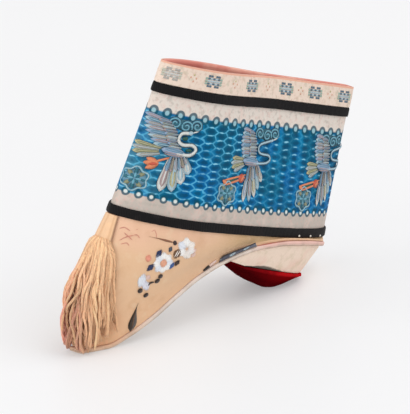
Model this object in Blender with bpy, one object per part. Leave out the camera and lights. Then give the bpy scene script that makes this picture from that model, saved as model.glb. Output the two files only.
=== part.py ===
"""A small arched slipper: cloth sole, block heel, silk upper, tall woven leg band and toe tassel.

The toe points to -Y, +Z is up and the wearer's left is +X. The shoe stands on its toe and on the rounded
bottom of its heel, so the leg band leans back over the heel.
"""

import math

import bmesh
import bpy
from mathutils import Vector

mm = 0.001

# Clearance between pieces that are sewn or glued together
GAP = 0.3 * mm

# Leg band: a tapering tube whose foot is a plane that leans back by LEAN
LEAN = math.radians(19.5)
BAND_FOOT_FRONT = Vector((0, 11.1 * mm, 55.0 * mm))
BAND_HEIGHT = 62.6 * mm
BAND_FOOT_LENGTH = 122.4 * mm
BAND_TOP_LENGTH = 109.5 * mm
BAND_FOOT_HALF_WIDTH = 17.4 * mm
BAND_FRONT_RAKE = 7.8 * mm
BAND_WALL = 1.4 * mm

# Plan shape of the band's foot: share of its length where it is widest, then how full its two ends are
BAND_PLAN = {"widest": 0.27, "front": 1.6, "back": 2.0}

# Collar: open at the front, pressed together over the heel between two shares of its length
COLLAR_PLAN = {"widest": 0.22, "front": 1.6, "back": 12.0}
COLLAR_HALF_WIDTH = 9.0 * mm
PINCHED_HALF_WIDTH = 2.4 * mm
PINCH = (0.24, 0.60)

# Strips sewn round the band: lowest edge, highest edge, thickness
LOWER_BINDING = (-0.7 * mm, 3.1 * mm, 0.5 * mm)
UPPER_BINDING = (50.0 * mm, 53.8 * mm, 0.5 * mm)
COLLAR_RIBBON = (54.1 * mm, 62.6 * mm, 0.5 * mm)
STRIP_EDGE = 0.5 * mm
BINDING_EDGE = 0.5
RIBBON_EDGE = 0.9
BAND_ROWS = 6

# Sole: where its underside runs from the toe tip, over the arch, to the back of the heel seat
#     y, z (mm)
ARCH_MM = (
    (-11.0, 1.7),
    (-7.0, 0.0),
    (3.0, 0.0),
    (13.0, 3.2),
    (24.0, 8.4),
    (35.0, 15.0),
    (46.0, 20.6),
    (58.0, 24.1),
    (72.0, 25.6),
    (86.0, 23.9),
    (102.0, 19.4),
    (112.0, 15.6),
    (123.5, 10.2),
)
TOE_Y = ARCH_MM[0][0] * mm
SEAT_BACK_Y = ARCH_MM[-1][0] * mm
SOLE_HALF_WIDTH = 16.8 * mm
SOLE_PLAN = {"widest": 0.65, "front": 1.4, "back": 2.3}
SOLE_THICKNESS = 1.8 * mm
SOLE_EDGE = 0.7 * mm
SOLE_ROUNDING = 0.5 * mm
INSOLE_THICKNESS = 1.0 * mm
INSOLE_INSET = 4.4 * mm
INSOLE_TOE = 6.0 * mm
INSOLE_HEEL = 9.0 * mm

# Upper: one silk wall from the sole's edge up to the foot of the band
UPPER_WALL = 1.4 * mm
UPPER_ROWS = 9
VAMP_KICK = math.radians(12)
LOWER_HANDLE = 0.36
UPPER_HANDLE = 0.34
TOE_BULGE = 0.16
SIDE_SPRING = 0.25

# Heel block: its top follows the sole, its foot slopes down to the back
HEEL_TOP_Y = (61.0 * mm, 122.4 * mm)
HEEL_FOOT_Y = (71.4 * mm, 110.0 * mm)
HEEL_FOOT_HALF_WIDTH = 13.0 * mm
HEEL_FOOT_BACK_Z = 1.4 * mm
HEEL_FOOT_SLOPE = math.tan(math.radians(23.5))
HEEL_ROWS = 4
HEEL_ROUND = 3.2
HEEL_WAIST = 0.8

# Red lift: a thin rim under the heel block, then a rounded underside with a small flat tread
LIFT_RIM = 1.0 * mm
LIFT_EDGE = 0.4 * mm
LIFT_CENTRE_Y = 98.5 * mm
#     y, z of the underside on the centre plane (mm)
LIFT_TREAD_MM = (
    (70.0, 18.4),
    (76.0, 11.0),
    (82.0, 4.4),
    (88.0, 0.0),
    (103.0, 0.0),
    (107.0, 0.5),
    (111.0, 1.1),
)
#     share of the lift's plan, share of the way from its rim down to the tread
LIFT_RINGS = ((1.0, 0.0), (0.84, 0.42), (0.62, 0.82), (0.38, 1.0))

# Toe tassel, laid over the ridge of the vamp
#     share of the vamp's height, half spread, thickness, clearance (mm)
TASSEL_MM = (
    (0.83, 4.2, 0.8, 0.3),
    (0.79, 5.4, 1.4, 0.3),
    (0.70, 7.2, 1.9, 0.3),
    (0.55, 10.4, 2.6, 0.3),
    (0.40, 13.4, 3.3, 0.3),
    (0.26, 16.2, 4.0, 0.4),
    (0.13, 18.6, 4.0, 0.7),
    (0.03, 20.4, 3.6, 1.3),
)
TASSEL_EDGE = 0.4 * mm
TASSEL_LOCKS = 9
TASSEL_STEPS_PER_LOCK = 4
LOCK_DEPTH = 0.42
LOCK_DRIFT = (0.35, 1.7)
LOCK_TIP_TURN = 2.4
TASSEL_TIP_DROP = (1.2 * mm, 3.4 * mm)

# Tab of silk from the band down to the tassel: highest, lowest share of the vamp, half width, thickness
FRONT_TAB = (0.985, 0.845, 3.4 * mm, 0.5 * mm)
FRONT_TAB_STEPS = 6

# Ribbon edging along the arch, on both sides: start, end (share of the sole), width, thickness
ARCH_RIBBON = (0.49, 0.63, 3.2 * mm, 0.5 * mm)
ARCH_RIBBON_STEPS = 8
ARCH_RIBBON_CLEARANCE = 0.5 * mm

# Facets from front to back along one side of a loop, and how evenly they are spaced
SIDE_STEPS = 24
EVEN_SHARE = 0.65
HEEL_STEPS = 14
HEEL_STEP_POWER = 1.6
SHARP_EDGE = math.radians(40)

# Steps taken along the vamp to measure an arc from its ridge
VAMP_REACH = 0.4
VAMP_STEPS = 160
SMALL_RISE = 0.02
SMALL_SHARE = 0.01


def mix(a, b, share):
    return a + (b - a) * share


def side_shares(steps):
    """Shares of the length from front to back, a little closer together at the two ends."""
    shares = []
    for step in range(steps + 1):
        part = step / steps
        shares.append(mix((1 - math.cos(math.pi * part)) / 2, part, EVEN_SHARE))
    return shares


def fullness(share, plan):
    """Half width at a share of the length, as a share of the greatest half width."""
    widest = plan["widest"]
    if share < widest:
        run, power = (widest - share) / widest, plan["front"]
    else:
        run, power = (share - widest) / (1 - widest), plan["back"]
    return max(0.0, 1 - min(1.0, run) ** power) ** (1 / power)


def smooth(table_mm, y):
    """Height and slope at y on a smooth curve through a table's rows, flat wherever two rows are level."""
    rows = [(row_y * mm, row_z * mm) for row_y, row_z in table_mm]
    chords = [(z1 - z0) / (y1 - y0) for (y0, z0), (y1, z1) in zip(rows, rows[1:])]
    slopes = [chords[0]]
    for before, after in zip(chords, chords[1:]):
        level = before * after <= 0
        slopes.append(0.0 if level else 2 * before * after / (before + after))
    slopes.append(chords[-1])
    span = 0
    while span < len(chords) - 1 and y > rows[span + 1][0]:
        span += 1
    (y0, z0), (y1, z1) = rows[span], rows[span + 1]
    width = y1 - y0
    t = (y - y0) / width
    m0, m1 = slopes[span] * width, slopes[span + 1] * width
    height = (2 * t**3 - 3 * t**2 + 1) * z0 + (t**3 - 2 * t**2 + t) * m0
    height += (3 * t**2 - 2 * t**3) * z1 + (t**3 - t**2) * m1
    slope = (6 * t**2 - 6 * t) * (z0 - z1) + (3 * t**2 - 4 * t + 1) * m0 + (3 * t**2 - 2 * t) * m1
    return height, slope / width


def above_tread(x, y, distance):
    """A point at a square distance above the sole's underside."""
    height, slope = smooth(ARCH_MM, y)
    length = math.hypot(1, slope)
    return Vector((x, y - distance * slope / length, height + distance / length))


def mirrored(half):
    """A whole loop from its +X half, which runs from the front to the back on the centre plane."""
    other = [Vector((-p.x, p.y, p.z)) for p in half[1:-1]]
    return half + other[::-1]


def outset(loops, distance, up_axis):
    """A surface's loops, moved out along its normals but kept in the layer that up_axis gives each point."""
    moved = []
    last = len(loops) - 1
    for row, loop in enumerate(loops):
        below, above = loops[max(row - 1, 0)], loops[min(row + 1, last)]
        new = []
        for i, point in enumerate(loop):
            around = loop[(i + 1) % len(loop)] - loop[i - 1]
            normal = around.cross(above[i] - below[i])
            up = up_axis(point, row / last)
            new.append(point + (normal - up * normal.dot(up)).normalized() * distance)
        moved.append(new)
    return moved


def band_axis(point, rise):
    """The band's own upright."""
    return Vector((0, math.sin(LEAN), math.cos(LEAN)))


def upper_axis(point, rise):
    """Square to the sole at the upper's lower edge, the band's upright at its upper edge."""
    slope = smooth(ARCH_MM, point.y)[1]
    return mix(Vector((0, -slope, 1)).normalized(), band_axis(point, rise), rise).normalized()


def collar_half(share):
    """Half width of the collar, which closes over the heel."""
    start, end = PINCH
    closing = min(1.0, max(0.0, (share - start) / (end - start)))
    wide = mix(COLLAR_HALF_WIDTH, PINCHED_HALF_WIDTH, closing**2 * (3 - 2 * closing))
    return wide * fullness(share, COLLAR_PLAN)


def band_point(share, up):
    """A point on the band's outer face, at a share of its length and a height above its foot."""
    rise = up / BAND_HEIGHT
    along = BAND_FRONT_RAKE * rise + share * mix(BAND_FOOT_LENGTH, BAND_TOP_LENGTH, rise)
    half = mix(BAND_FOOT_HALF_WIDTH * fullness(share, BAND_PLAN), collar_half(share), rise)
    y = along * math.cos(LEAN) + up * math.sin(LEAN)
    z = up * math.cos(LEAN) - along * math.sin(LEAN)
    return BAND_FOOT_FRONT + Vector((half, y, z))


def band_loops(heights):
    shares = side_shares(SIDE_STEPS)
    return [mirrored([band_point(share, up) for share in shares]) for up in heights]


def plan_half(front_y, back_y, half_width, edge):
    """The +X half of a sole-shaped outline, with its edge moved out, as (x, y) pairs."""
    points = []
    for share in side_shares(SIDE_STEPS):
        points.append(Vector((half_width * fullness(share, SOLE_PLAN), mix(front_y, back_y, share))))
    moved = []
    for i, point in enumerate(points):
        before = points[i - 1] if i else Vector((-points[1].x, points[1].y))
        after = points[i + 1] if i < SIDE_STEPS else Vector((-points[-2].x, points[-2].y))
        along = (after - before).normalized()
        moved.append(point + Vector((along.y, -along.x)) * edge)
    return moved


def sole_loop(edge, distance):
    """A loop of the sole, its edge moved out, at a square distance above the sole's underside."""
    half = plan_half(TOE_Y, SEAT_BACK_Y, SOLE_HALF_WIDTH, edge)
    return mirrored([above_tread(p.x, p.y, distance) for p in half])


def insole_loop(distance):
    """A loop of the insole, which stops short of the upper's wall all round."""
    half = plan_half(TOE_Y + INSOLE_TOE, SEAT_BACK_Y - INSOLE_HEEL, SOLE_HALF_WIDTH - INSOLE_INSET, 0)
    return mirrored([above_tread(p.x, p.y, distance) for p in half])


def feather_point(share):
    """A point on the upper's lower edge, just above the sole."""
    y = mix(TOE_Y, SEAT_BACK_Y, share)
    half = SOLE_HALF_WIDTH * fullness(share, SOLE_PLAN)
    return above_tread(half, y, SOLE_THICKNESS + GAP)


def upper_point(share, rise):
    """A point on the upper's outer face: a curve from the sole's edge to the foot of the band."""
    low = feather_point(share)
    high = band_point(share, -GAP)
    height = (high - low).length
    frontness = max(0.0, 1 - share / BAND_PLAN["widest"]) ** 2
    band_up = (band_point(share, GAP) - band_point(share, 0)).normalized()
    kick = VAMP_KICK * frontness
    leave = Vector((band_up.x, band_up.y + math.sin(kick), band_up.z)).normalized()
    side_spring = SIDE_SPRING * fullness(share, SOLE_PLAN)
    spring = Vector((side_spring, -TOE_BULGE * frontness, 1)).normalized()
    low_handle = low + spring * height * LOWER_HANDLE
    high_handle = high - leave * height * UPPER_HANDLE
    fall = 1 - rise
    return (
        low * fall**3
        + low_handle * 3 * fall**2 * rise
        + high_handle * 3 * fall * rise**2
        + high * rise**3
    )


def upper_loops():
    shares = side_shares(SIDE_STEPS)
    rises = [row / (UPPER_ROWS - 1) for row in range(UPPER_ROWS)]
    return [mirrored([upper_point(share, rise) for share in shares]) for rise in rises]


def vamp_point(arc, rise):
    """A point on the vamp and its normal, at an arc length from the front ridge towards +X."""
    step = VAMP_REACH / VAMP_STEPS
    side = 1 if arc >= 0 else -1
    target, walked, share = abs(arc), 0.0, 0.0
    point = upper_point(0, rise)
    while walked < target and share < VAMP_REACH:
        share += step
        ahead = upper_point(share, rise)
        walked += (ahead - point).length
        point = ahead
    behind = upper_point(share - step, rise) if share > step else None
    ahead = upper_point(share + step, rise)
    if behind is None:
        behind = Vector((-ahead.x, ahead.y, ahead.z))
    climb = upper_point(share, min(1, rise + SMALL_RISE)) - upper_point(share, max(0, rise - SMALL_RISE))
    normal = (ahead - behind).cross(climb).normalized()
    return Vector((side * point.x, point.y, point.z)), Vector((side * normal.x, normal.y, normal.z))


def heel_foot_z(y):
    """Height of the heel's lower edge, where the lift's rim begins."""
    return HEEL_FOOT_BACK_Z + (HEEL_FOOT_Y[1] - y) * HEEL_FOOT_SLOPE


def heel_foot_half(edge):
    """The +X half of the heel's foot, from the breast to the back, as (x, y) pairs."""
    front, back = HEEL_FOOT_Y
    points = []
    for step in range(HEEL_STEPS + 1):
        run = 1 - (1 - step / HEEL_STEPS) ** HEEL_STEP_POWER
        half = HEEL_FOOT_HALF_WIDTH * (1 - run**HEEL_ROUND) ** (1 / HEEL_ROUND)
        points.append(Vector((half + edge * (step < HEEL_STEPS), mix(front - edge, back + edge, run))))
    return points


def heel_top_half():
    """The +X half of the heel's top, which follows the sole's underside."""
    front, back = HEEL_TOP_Y
    points = []
    for step in range(HEEL_STEPS + 1):
        run = 1 - (1 - step / HEEL_STEPS) ** HEEL_STEP_POWER
        y = mix(front, back, run)
        share = (y - TOE_Y) / (back - TOE_Y)
        half = SOLE_HALF_WIDTH * fullness(share, SOLE_PLAN)
        points.append(above_tread(half, y, -GAP))
    return points


def breast_loop(half):
    """A loop whose front is a straight line across the breast of the heel."""
    other = [Vector((-p.x, p.y, p.z)) for p in half[:-1]]
    return half + other[::-1]


def material(name, colour, roughness):
    made = bpy.data.materials.new(name)
    made.use_nodes = True
    shader = made.node_tree.nodes["Principled BSDF"]
    shader.inputs["Base Color"].default_value = (*colour, 1)
    shader.inputs["Roughness"].default_value = roughness
    shader.inputs["Metallic"].default_value = 0
    return made


def finish(name, bm, made, stand):
    """Closes off a mesh as one named object that stands with the rest."""
    bmesh.ops.recalc_face_normals(bm, faces=bm.faces)
    mesh = bpy.data.meshes.new(name)
    bm.to_mesh(mesh)
    bm.free()
    mesh.materials.append(made)
    mesh.shade_smooth()
    mesh.set_sharp_from_angle(angle=SHARP_EDGE)
    part = bpy.data.objects.new(name, mesh)
    bpy.context.scene.collection.objects.link(part)
    part.parent = stand
    return part


def skin(bm, loops, joined):
    """Quads between neighbouring loops; joined loops close back on the first. Returns the loops' vertices."""
    rings = [[bm.verts.new(point) for point in loop] for loop in loops]
    pairs = list(zip(rings, rings[1:]))
    if joined:
        pairs.append((rings[-1], rings[0]))
    for low, high in pairs:
        for i in range(len(low)):
            k = (i + 1) % len(low)
            bm.faces.new((low[i], low[k], high[k], high[i]))
    return rings


def ladder(bm, ring, pointed):
    """Fills a loop that is the same on both sides of the centre plane, rung by rung from front to back.

    A pointed loop starts on the centre plane; the other kind starts with a straight edge across.
    """
    count = len(ring)
    left = ring[: count // 2 + 1]
    right = [ring[0]] + ring[: count // 2 - 1 : -1] if pointed else ring[: count // 2 - 1 : -1]
    for i in range(len(left) - 1):
        corners = []
        for vert in (left[i], left[i + 1], right[i + 1], right[i]):
            if vert not in corners:
                corners.append(vert)
        bm.faces.new(corners)


def wall_solid(name, outer, inner, made, stand):
    """A tube with a wall: outer loops going up, inner loops coming down."""
    bm = bmesh.new()
    skin(bm, outer + inner[::-1], joined=True)
    return finish(name, bm, made, stand)


def plug_solid(name, loops, pointed, made, stand):
    """A stack of loops, filled at both ends."""
    bm = bmesh.new()
    rings = skin(bm, loops, joined=False)
    ladder(bm, rings[0], pointed)
    ladder(bm, rings[-1], pointed)
    return finish(name, bm, made, stand)


def make_sole(stand):
    cloth = material("sole_cloth", (0.80, 0.66, 0.58), 0.9)
    loops = [
        sole_loop(SOLE_EDGE - SOLE_ROUNDING, 0),
        sole_loop(SOLE_EDGE, SOLE_ROUNDING),
        sole_loop(SOLE_EDGE, SOLE_THICKNESS - SOLE_ROUNDING),
        sole_loop(SOLE_EDGE - SOLE_ROUNDING, SOLE_THICKNESS),
    ]
    return plug_solid("sole", loops, True, cloth, stand)


def make_insole(stand):
    cloth = material("insole_cloth", (0.86, 0.74, 0.64), 0.95)
    low = SOLE_THICKNESS + GAP
    loops = [insole_loop(low), insole_loop(low + INSOLE_THICKNESS)]
    return plug_solid("insole", loops, True, cloth, stand)


def make_upper(stand):
    silk = material("vamp_silk", (0.80, 0.58, 0.38), 0.6)
    outer = upper_loops()
    return wall_solid("upper", outer, outset(outer, -UPPER_WALL, upper_axis), silk, stand)


def make_leg_band(stand):
    brocade = material("brocade", (0.02, 0.24, 0.42), 0.55)
    outer = band_loops([BAND_HEIGHT * row / (BAND_ROWS - 1) for row in range(BAND_ROWS)])
    return wall_solid("leg_band", outer, outset(outer, -BAND_WALL, band_axis), brocade, stand)


def make_strip(name, size, edge, made, stand):
    """A flat strip sewn round the band, its two edges thinned by a share."""
    low, high, thickness = size
    heights = (low, low + STRIP_EDGE, high - STRIP_EDGE, high)
    loops = band_loops(heights)
    inner = outset(loops, GAP, band_axis)
    thin = outset(loops, GAP + thickness * edge, band_axis)
    full = outset(loops, GAP + thickness, band_axis)
    outer = [thin[0], full[1], full[2], thin[3]]
    return wall_solid(name, outer, inner, made, stand)


def make_heel(stand):
    cloth = material("heel_cloth", (0.83, 0.67, 0.55), 0.85)
    top = heel_top_half()
    foot = []
    for p in heel_foot_half(0):
        foot.append(Vector((p.x, p.y, heel_foot_z(p.y) + LIFT_RIM + GAP)))
    loops = []
    for row in range(HEEL_ROWS + 1):
        waist = (row / HEEL_ROWS) ** HEEL_WAIST
        loops.append(breast_loop([mix(a, b, waist) for a, b in zip(foot, top)]))
    return plug_solid("heel", loops, False, cloth, stand)


def make_heel_lift(stand):
    red = material("lift_red", (0.55, 0.03, 0.03), 0.7)
    plan = heel_foot_half(LIFT_EDGE)
    loops = [breast_loop([Vector((p.x, p.y, heel_foot_z(p.y) + LIFT_RIM)) for p in plan])]
    for size, down in LIFT_RINGS:
        half = []
        for p in plan:
            y = mix(LIFT_CENTRE_Y, p.y, size)
            z = mix(heel_foot_z(y), smooth(LIFT_TREAD_MM, y)[0], down)
            half.append(Vector((p.x * size, y, z)))
        loops.append(breast_loop(half))
    return plug_solid("heel_lift", loops, False, red, stand)


def lock_wave(across, row):
    """Height of the tassel's locks across its spread, drifting a little from row to row."""
    reach, turn = LOCK_DRIFT
    lock = TASSEL_LOCKS * (across + 1) / 2 + reach * math.sin(turn * row)
    return 1 - LOCK_DEPTH + LOCK_DEPTH * abs(math.sin(math.pi * lock))


def make_tassel(stand):
    thread = material("tassel_thread", (0.84, 0.62, 0.40), 0.7)
    steps = TASSEL_LOCKS * TASSEL_STEPS_PER_LOCK
    bm = bmesh.new()
    rings = []
    for row, (rise, spread, thickness, clearance) in enumerate(TASSEL_MM):
        inner, outer = [], []
        for step in range(steps + 1):
            across = 2 * step / steps - 1
            point, normal = vamp_point(across * spread * mm, rise)
            crown = math.sqrt(max(0.0, 1 - across**2))
            proud = (clearance + thickness * crown * lock_wave(across, row)) * mm + TASSEL_EDGE
            inner.append(point + normal * clearance * mm)
            outer.append(point + normal * proud)
        if row == len(TASSEL_MM) - 1:
            short, long = TASSEL_TIP_DROP
            for step in range(steps + 1):
                lock = step // TASSEL_STEPS_PER_LOCK
                drop = mix(short, long, 0.5 + 0.5 * math.sin(LOCK_TIP_TURN * lock))
                outer[step].z = max(outer[step].z - drop, short)
                inner[step].z = max(inner[step].z - drop, short)
        rings.append([bm.verts.new(p) for p in outer + inner[::-1]])
    for low, high in zip(rings, rings[1:]):
        for i in range(len(low)):
            k = (i + 1) % len(low)
            bm.faces.new((low[i], low[k], high[k], high[i]))
    for ring in (rings[0], rings[-1]):
        for i in range(steps):
            bm.faces.new((ring[i], ring[i + 1], ring[-2 - i], ring[-1 - i]))
    return finish("tassel", bm, thread, stand)


def strap_solid(name, rows, made, stand):
    """A flat strap from its cross-sections, one after the other."""
    bm = bmesh.new()
    rings = [[bm.verts.new(corner) for corner in row] for row in rows]
    for near, far in zip(rings, rings[1:]):
        for i in range(len(near)):
            k = (i + 1) % len(near)
            bm.faces.new((near[i], near[k], far[k], far[i]))
    bm.faces.new(rings[0])
    bm.faces.new(rings[-1])
    return finish(name, bm, made, stand)


def make_front_tab(stand):
    """A strap of silk folded over the front ridge, from the band down to the tassel."""
    silk = material("tab_silk", (0.82, 0.60, 0.40), 0.6)
    high, low, half_width, thickness = FRONT_TAB
    rows = []
    for step in range(FRONT_TAB_STEPS + 1):
        rise = mix(high, low, step / FRONT_TAB_STEPS)
        inner, outer = [], []
        for across in (-1, -0.5, 0, 0.5, 1):
            point, normal = vamp_point(across * half_width, rise)
            inner.append(point + normal * GAP)
            outer.append(point + normal * (GAP + thickness))
        rows.append(inner + outer[::-1])
    return strap_solid("front_tab", rows, silk, stand)


def make_arch_ribbon(name, side, stand):
    """A strip of patterned ribbon sewn along the upper's lower edge, under the arch of the foot."""
    woven = material(name, (0.20, 0.24, 0.28), 0.6)
    start, end, width, thickness = ARCH_RIBBON
    rows = []
    for step in range(ARCH_RIBBON_STEPS + 1):
        share = mix(start, end, step / ARCH_RIBBON_STEPS)
        height = (upper_point(share, 1) - upper_point(share, 0)).length
        across = []
        for rise in (GAP / height, (GAP + width) / height):
            point = upper_point(share, rise)
            around = upper_point(share + SMALL_SHARE, rise) - upper_point(share - SMALL_SHARE, rise)
            climb = upper_point(share, rise + SMALL_RISE) - point
            normal = around.cross(climb).normalized()
            lift = normal * ARCH_RIBBON_CLEARANCE
            across.append((point + lift, point + lift + normal * thickness))
        (low_in, low_out), (high_in, high_out) = across
        rows.append([Vector((side * p.x, p.y, p.z)) for p in (low_in, high_in, high_out, low_out)])
    return strap_solid(name, rows, woven, stand)


def centre_on_origin(stand, parts):
    """Puts the origin on the floor, under the middle of the whole shoe."""
    ys = [vert.co.y for part in parts for vert in part.data.vertices]
    stand.location.y = -(min(ys) + max(ys)) / 2


def main():
    for old in list(bpy.data.objects):
        bpy.data.objects.remove(old)
    stand = bpy.data.objects.new("stand", None)
    bpy.context.scene.collection.objects.link(stand)
    black = material("binding_black", (0.015, 0.015, 0.018), 0.6)
    ribbon = material("collar_ribbon", (0.78, 0.70, 0.60), 0.65)
    parts = [
        make_sole(stand),
        make_insole(stand),
        make_upper(stand),
        make_leg_band(stand),
        make_strip("lower_binding", LOWER_BINDING, BINDING_EDGE, black, stand),
        make_strip("upper_binding", UPPER_BINDING, BINDING_EDGE, black, stand),
        make_strip("collar_ribbon", COLLAR_RIBBON, RIBBON_EDGE, ribbon, stand),
        make_heel(stand),
        make_heel_lift(stand),
        make_front_tab(stand),
        make_tassel(stand),
        make_arch_ribbon("arch_ribbon_left", 1, stand),
        make_arch_ribbon("arch_ribbon_right", -1, stand),
    ]
    centre_on_origin(stand, parts)


if __name__ == "__main__":
    main()
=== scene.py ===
"""Looks of a small arched slipper: silk upper, woven leg band, bindings, heel, embroidery and toe tassel."""

import math
from functools import cached_property

import bpy
import numpy as np
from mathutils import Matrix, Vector


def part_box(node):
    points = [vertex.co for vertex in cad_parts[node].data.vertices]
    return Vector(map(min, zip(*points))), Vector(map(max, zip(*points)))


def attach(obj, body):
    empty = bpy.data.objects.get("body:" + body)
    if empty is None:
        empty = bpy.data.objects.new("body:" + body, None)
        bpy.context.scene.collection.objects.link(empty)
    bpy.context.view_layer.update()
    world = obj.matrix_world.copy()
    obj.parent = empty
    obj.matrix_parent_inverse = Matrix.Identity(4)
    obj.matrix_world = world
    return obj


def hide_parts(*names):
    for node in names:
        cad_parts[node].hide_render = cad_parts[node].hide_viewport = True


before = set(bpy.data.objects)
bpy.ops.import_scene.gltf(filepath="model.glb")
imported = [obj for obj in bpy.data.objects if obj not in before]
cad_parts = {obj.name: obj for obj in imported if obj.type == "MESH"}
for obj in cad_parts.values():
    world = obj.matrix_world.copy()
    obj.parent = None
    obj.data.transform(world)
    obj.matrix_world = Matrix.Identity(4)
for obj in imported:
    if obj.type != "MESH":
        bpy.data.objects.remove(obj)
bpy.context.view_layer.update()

bl_info = {
    "name": "Slipper looks",
    "version": (1, 0, 0),
    "blender": (4, 5, 0),
    "location": "View3D > Sidebar > Slipper",
    "description": "Models the visible pieces of an arched slipper around its packed solids",
    "category": "Object",
}

# Shapes below are worked out in millimetres and turned into metres when a mesh is made
MM = 0.001
# Room between two pieces
GAP = 0.3
# Steps for slopes: share of a loop, millimetres up the band, share of the upper's height
SHARE_STEP = 0.004
UP_STEP = 0.5
RISE_STEP = 0.01

# Leg band, as in the part's source
LEAN = math.radians(19.5)
BAND_FOOT_FRONT = np.array((0, 11.1, 55.0))
BAND_HEIGHT = 62.6
BAND_LENGTH = (122.4, 109.5)
BAND_FOOT_HALF_WIDTH = 17.4
BAND_FRONT_RAKE = 7.8
BAND_WALL = 1.4
BAND_AXIS = np.array((0, math.sin(LEAN), math.cos(LEAN)))

# Strips sewn round the band: lowest edge, highest edge, thickness
LOWER_BINDING = (-0.7, 3.1, 0.5)
UPPER_BINDING = (50.0, 53.8, 0.5)
COLLAR_RIBBON = (54.1, 62.6, 0.5)

# Plan shapes: share of the length at the widest place, then how full the front and the back are
BAND_PLAN = (0.27, 1.6, 2.0)
COLLAR_PLAN = (0.22, 1.6, 12.0)
SOLE_PLAN = (0.65, 1.4, 2.3)

# Collar: open at the front, pressed together over the heel between two shares of its length
COLLAR_HALF_WIDTH = 9.0
PINCHED_HALF_WIDTH = 2.4
PINCH = (0.24, 0.60)

# Sole, as in the part's source: y and z of its underside
ARCH = (
    (-11.0, 1.7),
    (-7.0, 0.0),
    (3.0, 0.0),
    (13.0, 3.2),
    (24.0, 8.4),
    (35.0, 15.0),
    (46.0, 20.6),
    (58.0, 24.1),
    (72.0, 25.6),
    (86.0, 23.9),
    (102.0, 19.4),
    (112.0, 15.6),
    (123.5, 10.2),
)
TOE_Y = ARCH[0][0]
SEAT_BACK_Y = ARCH[-1][0]
SOLE_HALF_WIDTH = 16.8
SOLE_THICKNESS = 1.8
SOLE_EDGE = 0.7
SOLE_ROUNDING = 0.5
INSOLE_THICKNESS = 1.0
INSOLE_INSET = 4.4
INSOLE_TOE = 6.0
INSOLE_HEEL = 9.0

# Upper, as in the part's source
UPPER_WALL = 1.4
VAMP_KICK = math.radians(12)
LOWER_HANDLE = 0.36
UPPER_HANDLE = 0.34
TOE_BULGE = 0.16
SIDE_SPRING = 0.25
# Height that the upper's own measure of its cloth runs to
UPPER_CLOTH = 52

# Heel block and its red lift, as in the part's source
HEEL_TOP_Y = (61.0, 122.4)
HEEL_FOOT_Y = (71.4, 110.0)
HEEL_FOOT_HALF_WIDTH = 13.0
HEEL_ROUND = 3.2
# The heel's rows lie closer together towards the sole
HEEL_SPACING = 0.8
LIFT_RIM = 1.0
LIFT_EDGE = 0.4
LIFT_CENTRE_Y = 98.5

# Rim and tread of the lift under its cloth cover, a millimetre or two lower and rounder than the solid
HEEL_FOOT_BACK_Z = 1.0
HEEL_FOOT_SLOPE = math.tan(math.radians(22.6))
LIFT_TREAD = (
    (70.0, 17.3),
    (76.0, 12.0),
    (82.0, 6.4),
    (88.0, 1.9),
    (93.0, 0.3),
    (96.0, 0.0),
    (103.0, 0.0),
    (107.0, 0.3),
    (111.0, 0.7),
)

# Tassel, as in the part's source: share of the vamp's height, half spread, thickness, clearance
TASSEL = (
    (0.83, 4.2, 0.8, 0.3),
    (0.79, 5.4, 1.4, 0.3),
    (0.70, 7.2, 1.9, 0.3),
    (0.55, 10.4, 2.6, 0.3),
    (0.40, 13.4, 3.3, 0.3),
    (0.26, 16.2, 4.0, 0.4),
    (0.13, 18.6, 4.0, 0.7),
    (0.03, 20.4, 3.6, 1.3),
)
# Share of the vamp's height where the strands leave the tab
STRAND_START = 0.815

# Front tab: its ends as shares of the vamp's height, half width, thickness
FRONT_TAB = (0.985, 0.845, 3.4, 0.5)

# Ribbon scraps along the arch: their ends as shares of the length, width, thickness
ARCH_RIBBON = (0.49, 0.63, 3.2, 0.5)
ARCH_RIBBON_CLEARANCE = 0.5

# Crane of the woven band, millimetres from the middle of its body, x towards the heel
CRANE_NECK = (
    (1.0, -0.4),
    (5.0, -0.2),
    (9.4, 0.2),
    (11.8, 1.6),
    (10.8, 3.2),
    (7.4, 3.5),
    (4.6, 4.0),
    (3.4, 5.6),
    (4.6, 7.4),
    (8.4, 8.4),
    (11.6, 9.2),
)
# The neck that the cranes near the front curl back
CURLED_NECK = (
    (0.5, -0.1),
    (6.2, 0.2),
    (8.6, 2.5),
    (6.6, 4.2),
    (2.3, 3.8),
    (0.0, 5.2),
    (0.6, 8.0),
    (4.2, 8.8),
)
# Root and tip of the first, the middle and the last feather of each fan
UPPER_WING = (
    ((-0.6, 12.0), (-8.4, 13.2)),
    ((1.7, 7.6), (-8.9, 7.6)),
    ((1.9, 2.6), (-6.8, 2.2)),
)
COVERTS = (
    ((0.0, 11.6), (-4.2, 12.0)),
    ((2.4, 7.4), (-3.0, 7.2)),
    ((2.6, 2.4), (-2.2, 2.2)),
)
LOWER_WING = (
    ((-1.4, -2.4), (-2.2, -15.8)),
    ((1.4, -2.4), (3.6, -14.6)),
    ((4.4, -0.8), (8.0, -7.4)),
)
LOWER_COVERTS = (
    ((-1.2, -1.2), (-1.8, -7.6)),
    ((1.2, -1.4), (2.4, -7.2)),
    ((3.8, -0.2), (6.4, -3.8)),
)
TAIL = (
    ((-4.4, 1.0), (-12.8, 1.4)),
    ((-5.0, 0.0), (-13.4, -1.4)),
    ((-4.4, -1.2), (-10.8, -3.8)),
)
# Arc, lean of the upper wing to the toe for each millimetre up, neck curled or not, long feathers of the
# lower wing, arc from crane to cloud
CRANES = (
    (16.9, 0.45, True, 4, 2.0),
    (60.2, 0.0, False, 5, 9.0),
    (109.7, 0.0, False, 5, 4.0),
    (-33.0, 0.3, True, 4, 5.0),
    (-86.0, 0.0, False, 5, 9.0),
)
CRANE_UP = 28.0

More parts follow.
